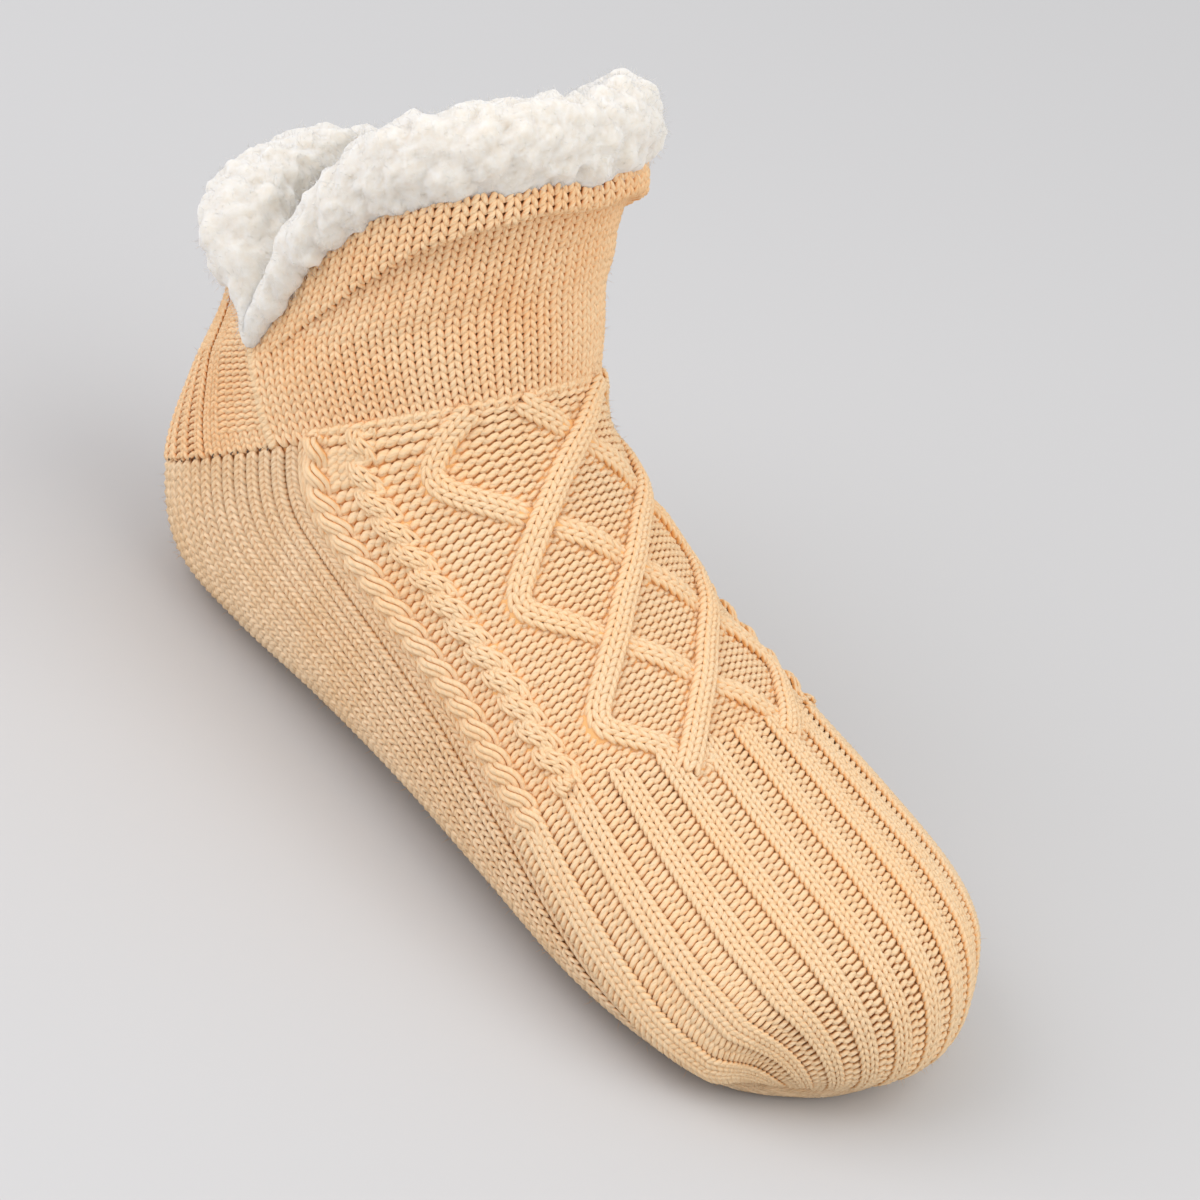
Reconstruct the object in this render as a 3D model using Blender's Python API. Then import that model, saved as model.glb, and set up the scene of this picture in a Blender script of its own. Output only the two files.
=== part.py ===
"""Knitted slipper sock with a fleece collar: upper, sole panel, collar roll and insole.

The foot runs along X with the toe at +X, the floor is z = 0, and all sizes are in metres.
Every surface is a tube of sections from the toe seam to the collar. A place on it is
(station, turn): station counts the rows of SECTIONS, turn runs from 0 on the top or front
middle line to 1 or -1 on the underside or back middle line, measured along the section.
"""

import math
from typing import NamedTuple

import bmesh
import bpy
import numpy as np

# Driving dimensions
LENGTH = 0.232  # heel to toe, outside
BALL_WIDTH = 0.097  # widest place of the forefoot
INSTEP_HEIGHT = 0.092  # top of the instep where the cuff begins
WALL = 0.0026  # thickness of the knitted wall
SEAM_GAP = 0.0003  # clearance where two pieces meet
FACET_SAG = 0.0009  # how far a flat facet of the inner face lies inside its curve
TOP_ROUND = 2.15  # superellipse power of the upper half of a section
BASE_ROUND = 2.7  # the same for the lower half, a little squarer

# Collar roll
SLIT_DEPTH = 1.70  # stations from the collar down to the foot of the side slit
ROLL_HEIGHT = 0.0165  # fleece above the knitted edge
ROLL_BULGE = 0.0048  # how far it stands out over the knit
ROLL_DEPTH = 0.0105  # its thickness inward from the knitted face
SKIRT_DROP = 0.026  # how far it runs down inside the cuff
LOCK_SIZE = 0.0011  # height of the fused locks

# Insole
INSOLE_THICK = 0.0042
INSOLE_TURN = 0.70  # turn at which its edge lies

# Raised knitting
CABLE_RISE = 0.0021  # trellis strands
ROPE_RISE = 0.0024  # twisted ropes beside the trellis
CORD_RISE = 0.0019  # single cord along the sole crease
RIB_RISE = 0.0016  # toe and heel ribs
LIP_RISE = 0.0022  # rolled lip at the front of the cuff

# Grid of the upper: every count is even, because the inside has half as many cells
FRONT_COLUMNS = 44
BACK_COLUMNS = 30
TRELLIS_ROWS = 34
TOE_ROWS = 14
CUFF_ROWS = 10
TRELLIS_LENGTH = 0.0865  # cabled part of the instep, along its middle line
HALF_DIAMOND = 6  # columns and rows from one trellis crossing to the next
FIRST_CROSSING = 4  # row of the first crossing below the cuff
ROPE_COLUMN = 16
CORD_COLUMN = 20
ROPE_LUMP_ROWS = 3  # rows from one twist of the rope to the next
RIB_COLUMNS = 4  # columns from one toe rib to the next
SOLE_COLUMNS = 20
SOLE_ROWS = 40
INSOLE_COLUMNS = 10
INSOLE_ROWS = 14


class Section(NamedTuple):
    """One row of the last. Lengths are shares of LENGTH, heights of INSTEP_HEIGHT, widths of BALL_WIDTH."""

    name: str
    top_along: float
    top_height: float
    base_along: float
    base_height: float
    width: float
    waist: float  # where the section is widest, as a share of the way from base to top
    bow: float  # how far its sides lie behind its middle, as a share of LENGTH


SECTIONS = (
    Section("toe_seam", 0.974, 0.062, 0.974, 0.062, 0.520, 0.50, 0.046),
    Section("toe_front", 1.000, 0.178, 0.969, 0.032, 0.635, 0.46, 0.056),
    Section("toe_tip", 0.987, 0.300, 0.956, 0.010, 0.735, 0.44, 0.053),
    Section("toe_round", 0.946, 0.388, 0.929, -0.008, 0.855, 0.42, 0.038),
    Section("toe_box", 0.875, 0.446, 0.853, -0.014, 0.962, 0.40, 0.016),
    Section("ball", 0.774, 0.503, 0.733, -0.014, 1.000, 0.40, 0.004),
    Section("waist", 0.659, 0.580, 0.591, 0.009, 0.948, 0.41, 0.000),
    Section("instep", 0.556, 0.677, 0.444, 0.016, 0.866, 0.42, 0.000),
    Section("high_instep", 0.474, 0.783, 0.302, 0.005, 0.804, 0.44, 0.000),
    Section("heel_front", 0.418, 0.880, 0.164, -0.014, 0.763, 0.47, 0.000),
    Section("heel_round", 0.388, 0.946, 0.060, 0.022, 0.738, 0.49, 0.000),
    Section("ankle", 0.371, 1.000, 0.006, 0.217, 0.726, 0.50, 0.000),
    Section("shaft_low", 0.340, 1.152, 0.004, 0.485, 0.728, 0.50, 0.000),
    Section("shaft_mid", 0.318, 1.320, 0.018, 0.740, 0.745, 0.50, 0.000),
    Section("collar", 0.302, 1.525, 0.006, 1.020, 0.775, 0.50, 0.000),
)
STATION = {section.name: index for index, section in enumerate(SECTIONS)}
ANKLE = STATION["ankle"]
COLLAR = STATION["collar"]


class CreasePoint(NamedTuple):
    """Turn of the crease between upper and sole at a station."""

    station: float
    turn: float


CREASE = (
    CreasePoint(STATION["toe_seam"], 0.500),
    CreasePoint(STATION["toe_front"], 0.545),
    CreasePoint(STATION["toe_tip"], 0.585),
    CreasePoint(STATION["toe_round"], 0.605),
    CreasePoint(STATION["toe_box"], 0.575),
    CreasePoint(STATION["ball"], 0.525),
    CreasePoint(STATION["waist"], 0.480),
    CreasePoint(STATION["instep"], 0.455),
    CreasePoint(STATION["ankle"], 0.445),
    CreasePoint(STATION["collar"], 0.445),
)


class EdgePoint(NamedTuple):
    """Station of the collar's knitted edge at a turn. The low row is the foot of the side slit."""

    turn: float
    station: float


COLLAR_EDGE = (
    EdgePoint(0.000, COLLAR - 0.08),
    EdgePoint(0.110, COLLAR),
    EdgePoint(0.230, COLLAR),
    EdgePoint(0.330, COLLAR - 0.04),
    EdgePoint(0.390, COLLAR - 0.17),
    EdgePoint(0.445, COLLAR - 0.40),
    EdgePoint(0.482, COLLAR - 0.58),
    EdgePoint(0.519, COLLAR - 0.82),
    EdgePoint(0.556, COLLAR - 1.22),
    EdgePoint(0.593, COLLAR - SLIT_DEPTH),
    EdgePoint(0.630, COLLAR - 1.30),
    EdgePoint(0.667, COLLAR - 0.92),
    EdgePoint(0.741, COLLAR - 0.48),
    EdgePoint(0.850, COLLAR - 0.22),
    EdgePoint(1.000, COLLAR - 0.12),
)


class RollPoint(NamedTuple):
    """A corner of the collar roll's section.

    up is a share of ROLL_HEIGHT above the knitted edge, or of SKIRT_DROP below it where negative;
    inward is a share of ROLL_DEPTH from the knit's outer face, or of ROLL_BULGE where negative.
    lock tells how much of a lock the corner carries.
    """

    up: float
    inward: float
    lock: float


ROLL_SECTION = (
    RollPoint(0.16, -0.85, 0.8),
    RollPoint(0.55, -0.95, 1.0),
    RollPoint(0.90, -0.15, 1.0),
    RollPoint(1.00, 0.42, 1.0),
    RollPoint(0.74, 0.95, 1.0),
    RollPoint(0.22, 1.06, 1.0),
    RollPoint(-0.45, 0.95, 0.9),
    RollPoint(-0.94, 0.76, 0.5),
)


def remove_startup_objects() -> None:
    """Clears the objects that the scene starts with."""
    for item in list(bpy.data.objects):
        bpy.data.objects.remove(item, do_unlink=True)


def hermite(rows: np.ndarray, station: np.ndarray) -> np.ndarray:
    """Smooth curve through equally spaced rows, read at the given stations."""
    slopes = np.gradient(rows, axis=0)
    low = np.clip(np.floor(station).astype(int), 0, len(rows) - 2)
    t = (station - low)[:, None]
    start, end = rows[low], rows[low + 1]
    start_slope, end_slope = slopes[low], slopes[low + 1]
    return (
        start * (2 * t**3 - 3 * t**2 + 1)
        + start_slope * (t**3 - 2 * t**2 + t)
        + end * (3 * t**2 - 2 * t**3)
        + end_slope * (t**3 - t**2)
    )


def outer_rows() -> np.ndarray:
    """The section table in metres: top x, top z, base x, base z, half width, waist, bow."""
    return np.array(
        [
            (
                row.top_along * LENGTH,
                row.top_height * INSTEP_HEIGHT,
                row.base_along * LENGTH,
                row.base_height * INSTEP_HEIGHT,
                row.width * BALL_WIDTH / 2,
                row.waist,
                row.bow * LENGTH,
            )
            for row in SECTIONS
        ]
    )


def inner_rows(depth: float) -> np.ndarray:
    """The same table for a tube that lies depth inside the outer one."""
    rows = outer_rows()
    inset = rows.copy()
    along_top = np.gradient(rows[:, 0:2], axis=0)
    along_base = np.gradient(rows[:, 2:4], axis=0)
    for line, along in ((slice(0, 2), along_top), (slice(2, 4), along_base)):
        side = np.column_stack((along[:, 1], -along[:, 0]))
        side /= np.linalg.norm(side, axis=1)[:, None]
        other = slice(2, 4) if line.start == 0 else slice(0, 2)
        inward = rows[:, other] - rows[:, line]
        side *= np.sign((side * inward).sum(axis=1))[:, None]
        inset[1:, line] += depth * side[1:]
    inset[0, 0:4] += depth * np.array((-1.1, 0.75, -1.1, 0.75))
    inset[:, 4] -= depth
    return inset


def section_points(row: np.ndarray, turns: np.ndarray, floor: float) -> np.ndarray:
    """Points of one section at the given turns, from 0 to 2 all the way round."""
    angle = np.linspace(0.0, math.pi, 181)
    reach = np.cos(angle)
    top = np.clip(reach, 0, None) ** (2 / TOP_ROUND)
    base = np.clip(-reach, 0, None) ** (2 / BASE_ROUND)
    power = np.where(reach > 0, 2 / TOP_ROUND, 2 / BASE_ROUND)
    side = np.clip(np.sin(angle), 0, None) ** power
    top_at, base_at = row[0:2], row[2:4]
    middle = base_at + (top_at - base_at) * row[5]
    plane = middle + np.outer(top, top_at - middle) + np.outer(base, base_at - middle)
    back = row[6] * side**2
    points = np.column_stack((plane[:, 0] - back, side * row[4], np.maximum(plane[:, 1], floor)))
    travelled = np.concatenate(((0.0,), np.cumsum(np.linalg.norm(np.diff(points, axis=0), axis=1))))
    travelled /= travelled[-1]
    wrapped = (np.asarray(turns) + 1.0) % 2.0 - 1.0
    found = np.column_stack([np.interp(np.abs(wrapped), travelled, points[:, axis]) for axis in range(3)])
    found[:, 1] *= np.where(wrapped < 0, -1.0, 1.0)
    return found


class Last:
    """The tube of sections at one depth below the knit's outer face."""

    def __init__(self, depth: float) -> None:
        self.depth = depth
        self.rows = inner_rows(depth) if depth else outer_rows()

    def at(self, stations: np.ndarray, turns: np.ndarray) -> np.ndarray:
        """Grid of points, a row for each station and a column for each turn.

        turns is one row for every station, or one row for all of them.
        """
        stations = np.asarray(stations, float)
        turns = np.broadcast_to(turns, (len(stations), np.shape(turns)[-1]))
        rows = hermite(self.rows, stations)
        return np.array([section_points(row, turn, self.depth) for row, turn in zip(rows, turns)])

    def scattered(self, stations: np.ndarray, turns: np.ndarray) -> np.ndarray:
        """One point for each pair of station and turn."""
        return self.at(stations, np.asarray(turns, float)[:, None])[:, 0]


OUTER = Last(0.0)
INNER = Last(WALL)


def crease_turn(stations: np.ndarray) -> np.ndarray:
    """Turn of the crease at each station."""
    return np.interp(stations, [point.station for point in CREASE], [point.turn for point in CREASE])


def collar_station(turns: np.ndarray) -> np.ndarray:
    """Station of the knitted collar edge at each turn."""
    wrapped = np.abs((np.asarray(turns) + 1.0) % 2.0 - 1.0)
    return np.interp(wrapped, [point.turn for point in COLLAR_EDGE], [point.station for point in COLLAR_EDGE])


def half_girth(stations: np.ndarray) -> np.ndarray:
    """Length of half a section's outline."""
    ring = OUTER.at(stations, np.linspace(0, 1, 61))
    return np.linalg.norm(np.diff(ring, axis=1), axis=2).sum(axis=1)


def instep_stations() -> np.ndarray:
    """Stations of the foot's grid rows, from the toe seam up to the ankle line.

    Rows are evenly spaced along the middle line, once in the toe and once in the trellis.
    """
    dense = np.linspace(0, ANKLE, 400)
    middle = OUTER.at(dense, np.zeros(1))[:, 0]
    travelled = np.concatenate(((0.0,), np.cumsum(np.linalg.norm(np.diff(middle, axis=0), axis=1))))
    toe_length = travelled[-1] - TRELLIS_LENGTH
    toe = np.linspace(0, toe_length, TOE_ROWS + 1)
    trellis = np.linspace(toe_length, travelled[-1], TRELLIS_ROWS + 1)
    return np.interp(np.concatenate((toe, trellis[1:])), travelled, dense)


def bump(distance: np.ndarray, reach: float) -> np.ndarray:
    """1 at no distance, falling smoothly to 0 at reach."""
    return np.clip(1 - (np.asarray(distance) / reach) ** 2, 0, 1)


def trellis_rise(column: np.ndarray, row: np.ndarray) -> np.ndarray:
    """Height of the trellis strands, ropes and cords; row counts down from the ankle line."""
    across = np.abs(column)
    phase = (row - FIRST_CROSSING) / HALF_DIAMOND
    place = across / HALF_DIAMOND
    down = np.abs((phase - place + 1.0) % 2.0 - 1.0)
    up = np.abs((phase + place + 1.0) % 2.0 - 1.0)
    strand = bump(np.minimum(down, up), 0.30) * (place < 2.12)
    twist = 0.75 + 0.25 * np.cos(2 * math.pi * row / ROPE_LUMP_ROWS)
    rope = bump(across - ROPE_COLUMN, 1.6) * twist
    cord = bump(across - CORD_COLUMN, 1.2)
    return np.maximum(np.maximum(strand * CABLE_RISE, rope * ROPE_RISE), cord * CORD_RISE)


def toe_rise(column: np.ndarray) -> np.ndarray:
    """Height of the toe ribs, which run along the foot."""
    return RIB_RISE * (0.5 + 0.5 * np.cos(2 * math.pi * column / RIB_COLUMNS))


def outward(points: np.ndarray, inside: np.ndarray) -> np.ndarray:
    """Unit vectors from points on the inner face to those on the outer face."""
    away = points - inside
    return away / np.linalg.norm(away, axis=-1, keepdims=True)


def new_object(name: str, mesh_source: bmesh.types.BMesh, group, colour: tuple) -> bpy.types.Object:
    """Turns a bmesh into a smooth-shaded object with a material of its own."""
    bmesh.ops.recalc_face_normals(mesh_source, faces=mesh_source.faces[:])
    mesh = bpy.data.meshes.new(name)
    mesh_source.to_mesh(mesh)
    mesh_source.free()
    for face in mesh.polygons:
        face.use_smooth = True
    material = bpy.data.materials.new(name)
    material.use_nodes = True
    shader = material.node_tree.nodes["Principled BSDF"]
    shader.inputs["Base Color"].default_value = (*colour, 1.0)
    shader.inputs["Roughness"].default_value = 0.9
    mesh.materials.append(material)
    item = bpy.data.objects.new(name, mesh)
    group.objects.link(item)
    return item


class Skin:
    """Collects vertices and faces of one closed wall in a bmesh."""

    def __init__(self) -> None:
        self.mesh = bmesh.new()

    def grid(self, points: np.ndarray, ridges: np.ndarray | None = None) -> list:
        """Adds an open grid of points. With ridges, heights on the grid, cells are split along the ridges."""
        verts = [[self.mesh.verts.new(point) for point in row] for row in points]
        if ridges is None:
            self.cells(verts, closed=False)
        else:
            self.split_cells(verts, ridges)
        return verts

    def cells(self, verts: list, closed: bool) -> None:
        """Adds the faces of a grid of vertices."""
        count = len(verts[0])
        for low, high in zip(verts[:-1], verts[1:]):
            for index in range(count if closed else count - 1):
                after = (index + 1) % count
                self.mesh.faces.new((low[index], low[after], high[after], high[index]))

    def split_cells(self, verts: list, ridges: np.ndarray) -> None:
        """Adds two triangles for each cell, with the diagonal that runs along the higher ground."""
        for row, (low, high) in enumerate(zip(verts[:-1], verts[1:])):
            for index in range(len(low) - 1):
                a, b, c, d = low[index], low[index + 1], high[index + 1], high[index]
                rising = ridges[row, index] + ridges[row + 1, index + 1]
                falling = ridges[row, index + 1] + ridges[row + 1, index]
                if rising >= falling:
                    triangles = ((a, b, c), (a, c, d))
                else:
                    triangles = ((a, b, d), (b, c, d))
                for corners in triangles:
                    self.mesh.faces.new(corners)

    def rim(self, outer: list, inner: list) -> None:
        """Joins a closed outer loop to an inner loop of half as many vertices."""
        count = len(inner)
        for index in range(count):
            first, middle = outer[2 * index], outer[2 * index + 1]
            last = outer[(2 * index + 2) % len(outer)]
            near, far = inner[index], inner[(index + 1) % count]
            self.mesh.faces.new((first, middle, near))
            self.mesh.faces.new((middle, last, far))
            self.mesh.faces.new((middle, far, near))


def back_turns(start: np.ndarray) -> np.ndarray:
    """Turns of the back strip's columns, from the crease round the back to the other crease."""
    share = np.linspace(0, 1, BACK_COLUMNS + 1)[1:-1]
    return start[:, None] + (2 - 2 * start[:, None]) * share


def upper_grids(last: Last, step: int) -> tuple:
    """Points of the upper on one last: the foot strip and the rows of the cuff.

    step 1 gives the outer grid and 2 the inner one. Edges that meet the sole stop short of
    the crease by half the seam gap.
    """
    stations = instep_stations()[::step]
    edge = crease_turn(stations) - SEAM_GAP / 2 / half_girth(stations)
    share = np.linspace(-1, 1, FRONT_COLUMNS + 1)[::step]
    foot = last.at(stations, edge[:, None] * share)
    foot[0] += SEAM_GAP / 2 * np.array((0.55, 0.0, 0.83))
    rise = np.linspace(0, 1, CUFF_ROWS + 1)[::step]
    edge_turn = edge[-1]
    back = back_turns(np.array((edge_turn,)))[0][step - 1 :: step]
    turns = np.concatenate((edge_turn * share, back))
    top = collar_station(turns)
    cuff = np.array([last.scattered(ANKLE + (top - ANKLE) * t, turns) for t in rise])
    seam = slice(len(share), len(turns))
    along = cuff[1, seam] - cuff[0, seam]
    cuff[0, seam] += SEAM_GAP / 2 * along / np.linalg.norm(along, axis=1)[:, None]
    return foot, cuff, turns, rise


def raise_upper(foot: np.ndarray, cuff: np.ndarray, turns: np.ndarray, rise: np.ndarray) -> np.ndarray:
    """Lifts the cables, ropes, ribs and lip out of the upper's outer face, and gives the foot's heights."""
    foot_inside, cuff_inside = upper_grids(INNER, 1)[:2]
    column = np.arange(FRONT_COLUMNS + 1) - FRONT_COLUMNS // 2
    row = np.arange(len(foot))[:, None]
    from_ankle = len(foot) - 1 - row
    fade_ankle = np.clip(from_ankle / 2.0, 0, 1)
    fade_toe = np.clip(row / 2.0, 0, 1)
    ribs = toe_rise(column) * fade_toe * np.clip((TOE_ROWS - row) / 2.0, 0, 1)
    cables = trellis_rise(column, from_ankle) * fade_ankle * np.clip((row - TOE_ROWS + 2) / 2.0, 0, 1)
    height = np.maximum(ribs, cables)
    height[:, [0, -1]] = 0.0
    foot += height[:, :, None] * outward(foot, foot_inside)
    wrapped = np.abs((turns + 1.0) % 2.0 - 1.0)
    lip = LIP_RISE * bump(np.clip(1 - rise, 0, 1), 0.3)[:, None] * np.clip((0.36 - wrapped) / 0.12, 0, 1)
    back = np.clip((wrapped - 0.66) / 0.06, 0, 1)
    heel_ribs = RIB_RISE * 0.6 * back * (np.arange(len(turns)) % 2) * bump(rise - 0.3, 0.35)[:, None]
    lift = lip + heel_ribs
    lift[0] = 0.0
    cuff += lift[:, :, None] * outward(cuff, cuff_inside)
    return height


def knit_upper(group) -> bpy.types.Object:
    """The hollow upper, open at the collar and where the sole panel closes it."""
    skin = Skin()
    foot_out, cuff_out, turns, rise = upper_grids(OUTER, 1)
    foot_in, cuff_in = upper_grids(INNER, 2)[:2]
    heights = raise_upper(foot_out, cuff_out, turns, rise)
    loops = []
    for foot, cuff, ridges in ((foot_out, cuff_out, heights), (foot_in, cuff_in, None)):
        foot_verts = skin.grid(foot, ridges)
        front = len(foot[0])
        seam_verts = [skin.mesh.verts.new(point) for point in cuff[0, front:]]
        cuff_verts = [foot_verts[-1] + seam_verts]
        cuff_verts += [[skin.mesh.verts.new(point) for point in row] for row in cuff[1:]]
        skin.cells(cuff_verts, closed=True)
        right_edge = [row[-1] for row in foot_verts]
        left_edge = [row[0] for row in foot_verts]
        opening = foot_verts[0][:-1] + right_edge + seam_verts + left_edge[:0:-1]
        loops.append((cuff_verts[-1], opening))
    skin.rim(loops[0][0], loops[1][0])
    skin.rim(loops[0][1], loops[1][1])
    return new_object("knit_upper", skin.mesh, group, (0.84, 0.55, 0.28))


def sole_grid(last: Last, step: int) -> np.ndarray:
    """Points of the sole panel, from the toe seam to the heel seam and from crease to crease."""
    stations = np.linspace(0, ANKLE, SOLE_ROWS + 1)[::step]
    edge = crease_turn(stations) + SEAM_GAP / 2 / half_girth(stations)
    share = np.linspace(0, 1, SOLE_COLUMNS + 1)[::step]
    points = last.at(stations, edge[:, None] + (2 - 2 * edge[:, None]) * share)
    points[0] -= SEAM_GAP / 2 * np.array((0.55, 0.0, 0.83))
    along = points[-2] - points[-1]
    points[-1] += SEAM_GAP / 2 * along / np.linalg.norm(along, axis=1)[:, None]
    return points


def border(verts: list) -> list:
    """Vertices round the edge of a grid, in order."""
    right = [row[-1] for row in verts]
    left = [row[0] for row in verts]
    return verts[0][:-1] + right[:-1] + verts[-1][:0:-1] + left[:0:-1]


def knit_sole(group) -> bpy.types.Object:
    """The sole panel, one bent wall that wraps up both sides of the foot."""
    skin = Skin()
    outer = skin.grid(sole_grid(OUTER, 1))
    inner = skin.grid(sole_grid(INNER, 2))
    skin.rim(border(outer), border(inner))
    return new_object("knit_sole", skin.mesh, group, (0.78, 0.54, 0.32))


def lock_height(turn: np.ndarray, corner: int) -> np.ndarray:
    """Height of the fleece locks: a few waves of unlike lengths, so that no two locks match."""
    around = math.pi * np.abs((np.asarray(turn) + 1.0) % 2.0 - 1.0)
    wave = np.sin(13 * around + 1.9 * corner) + np.sin(8 * around - 2.3 * corner + 1.0)
    return LOCK_SIZE * (0.55 * wave + 0.45 * np.sin(21 * around + 2.7 * corner))


def roll_ring(point: RollPoint, corner: int, turns: np.ndarray, size: np.ndarray) -> np.ndarray:
    """One ring of the collar roll. size scales the part above the edge along the collar."""
    top = collar_station(turns)
    edge = OUTER.scattered(top, turns)
    below = OUTER.scattered(top - 0.35, turns)
    shaft = edge - below
    length = np.linalg.norm(shaft, axis=1)
    shaft /= length[:, None]
    if point.inward < 0:
        depth = point.inward * ROLL_BULGE * size
    else:
        depth = point.inward * ROLL_DEPTH * (0.6 + 0.4 * size)
    depth = depth - point.lock * lock_height(turns, corner)
    if point.up >= 0:
        place, height = edge, point.up * ROLL_HEIGHT * size
        inside = INNER.scattered(top, turns)
    else:
        lower = top + point.up * SKIRT_DROP * 0.35 / length
        place, height = OUTER.scattered(lower, turns), np.zeros(len(turns))
        inside = INNER.scattered(lower, turns)
    inward = -outward(place, inside)
    return place + shaft * height[:, None] + inward * depth[:, None]


def fleece_collar(group) -> bpy.types.Object:
    """The fleece roll over the collar edge, with its skirt down inside the cuff."""
    turns = upper_grids(OUTER, 1)[2]
    low = (collar_station(turns) - (COLLAR - SLIT_DEPTH)) / SLIT_DEPTH
    size = 0.40 + 0.60 * np.clip(low, 0, 1)
    rings = [roll_ring(point, corner, turns, size) for corner, point in enumerate(ROLL_SECTION)]
    clear = WALL + SEAM_GAP
    top = collar_station(turns)
    edge = OUTER.scattered(top, turns)
    below = OUTER.scattered(top - 0.35, turns)
    length = np.linalg.norm(edge - below, axis=1)
    shaft = (edge - below) / length[:, None]
    for drop in (0.88, 0.2):
        station = top - drop * SKIRT_DROP * 0.35 / length
        place = OUTER.scattered(station, turns)
        inward = -outward(place, INNER.scattered(station, turns))
        rings.append(place + inward * (clear + FACET_SAG))
    inward = -outward(edge, INNER.scattered(top, turns))
    run = np.roll(edge, -1, axis=0) - np.roll(edge, 1, axis=0)
    level = np.abs(np.linalg.norm(np.cross(run, shaft), axis=1)) / np.linalg.norm(run, axis=1)
    lift = shaft * (2 * SEAM_GAP / np.clip(level, 0.3, 1))[:, None]
    rings.append(edge + inward * (clear + FACET_SAG) + lift)
    rings.append(edge + lift - inward * ROLL_BULGE * 0.25)
    skin = Skin()
    verts = [[skin.mesh.verts.new(point) for point in ring] for ring in rings]
    skin.cells(verts + [verts[0]], closed=True)
    return new_object("fleece_collar", skin.mesh, group, (0.90, 0.88, 0.83))


def fleece_insole(group) -> bpy.types.Object:
    """The fleece footbed on the sole panel."""
    stations = np.linspace(STATION["toe_tip"] + 0.5, STATION["heel_round"] - 0.1, INSOLE_ROWS + 1)
    share = np.linspace(0, 1, INSOLE_COLUMNS + 1)
    turns = INSOLE_TURN + (2 - 2 * INSOLE_TURN) * share
    across = bump(2 * share - 1, 1.35)
    along = np.linspace(-1, 1, INSOLE_ROWS + 1)
    fill = np.clip((1.0 - np.abs(along)) / 0.1, 0.35, 1)[:, None] * np.clip(across / 0.75, 0.35, 1)
    clear = WALL + SEAM_GAP + 1.5 * FACET_SAG
    bottom = Last(clear).at(stations, turns)
    top = Last(clear + INSOLE_THICK).at(stations, turns)
    top = bottom + (top - bottom) * fill[:, :, None]
    skin = Skin()
    low, high = skin.grid(bottom), skin.grid(top)
    below, above = border(low), border(high)
    skin.cells([below, above], closed=True)
    return new_object("fleece_insole", skin.mesh, group, (0.90, 0.88, 0.83))


def centre_on_floor(parts: list) -> None:
    """Moves the meshes so that the whole stands on z = 0 with its box centred on the origin."""
    corners = np.array([vertex.co[:] for item in parts for vertex in item.data.vertices])
    low, high = corners.min(axis=0), corners.max(axis=0)
    shift = (-(low[0] + high[0]) / 2, -(low[1] + high[1]) / 2, -low[2])
    for item in parts:
        for vertex in item.data.vertices:
            vertex.co = [value + step for value, step in zip(vertex.co, shift)]


def main() -> None:
    """Builds the slipper."""
    remove_startup_objects()
    group = bpy.data.collections.new("knit_slipper")
    bpy.context.scene.collection.children.link(group)
    parts = [knit_upper(group), knit_sole(group), fleece_collar(group), fleece_insole(group)]
    centre_on_floor(parts)


main()
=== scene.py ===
"""Looks of the knit slipper sock around its CAD part: yarn, cables, fleece and the studio."""

import logging
import math
from collections.abc import Callable
from dataclasses import dataclass, field
from enum import Enum
from functools import partial

import bmesh
import bpy
import numpy as np
from mathutils import Matrix, Vector, noise
from mathutils.kdtree import KDTree


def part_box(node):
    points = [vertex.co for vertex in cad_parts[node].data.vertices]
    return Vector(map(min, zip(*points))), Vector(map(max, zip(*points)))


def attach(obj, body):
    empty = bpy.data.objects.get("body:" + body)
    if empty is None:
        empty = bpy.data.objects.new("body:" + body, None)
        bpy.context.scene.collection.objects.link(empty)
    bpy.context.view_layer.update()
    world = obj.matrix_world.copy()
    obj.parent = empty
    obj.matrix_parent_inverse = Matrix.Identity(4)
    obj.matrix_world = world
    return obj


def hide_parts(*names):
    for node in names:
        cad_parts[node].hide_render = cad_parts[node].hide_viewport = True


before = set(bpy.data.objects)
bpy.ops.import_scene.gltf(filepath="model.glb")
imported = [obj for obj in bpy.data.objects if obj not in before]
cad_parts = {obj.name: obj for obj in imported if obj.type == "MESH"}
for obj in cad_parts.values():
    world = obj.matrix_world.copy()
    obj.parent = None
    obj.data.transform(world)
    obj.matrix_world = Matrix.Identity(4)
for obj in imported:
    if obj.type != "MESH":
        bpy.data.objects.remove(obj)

Array = np.ndarray
Material = bpy.types.Material

LOG = logging.getLogger("slipper")
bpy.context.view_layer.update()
MM = 0.001
FLOOR_LEVEL = -0.5 * MM  # yarn under the sole is pressed flat here

# Sizes shared with the CAD part, in metres. Stations are section numbers, 0 at the toe seam.
LENGTH = 0.232
BALL_WIDTH = 0.097
INSTEP_HEIGHT = 0.092
WALL = 2.6 * MM
CABLE_RISE = 2.1 * MM
RIB_RISE = 1.6 * MM
LIP_RISE = 2.2 * MM
ROLL_HEIGHT = 16.5 * MM
ROLL_BULGE = 4.8 * MM
ROLL_DEPTH = 10.5 * MM
SKIRT_DROP = 26.0 * MM
ANKLE = 11.0
SLIT_STATION = 12.3
COLLAR = 14.0
TRELLIS_LENGTH = 86.5 * MM
TRELLIS_ROWS = 34
FOOT_COLUMNS = 22  # grid columns from the middle line to the sole crease
ROPE_COLUMN = 16
CORD_COLUMN = 20
# Row at which the toe ribs begin, by column.
RIB_COLUMNS = (0, 12, 15, FOOT_COLUMNS)
RIB_ROWS = (34, 33, 31, 31)
TOP_ROUND = 2.15
BASE_ROUND = 2.7
SECTION_STEPS = 181

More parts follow.
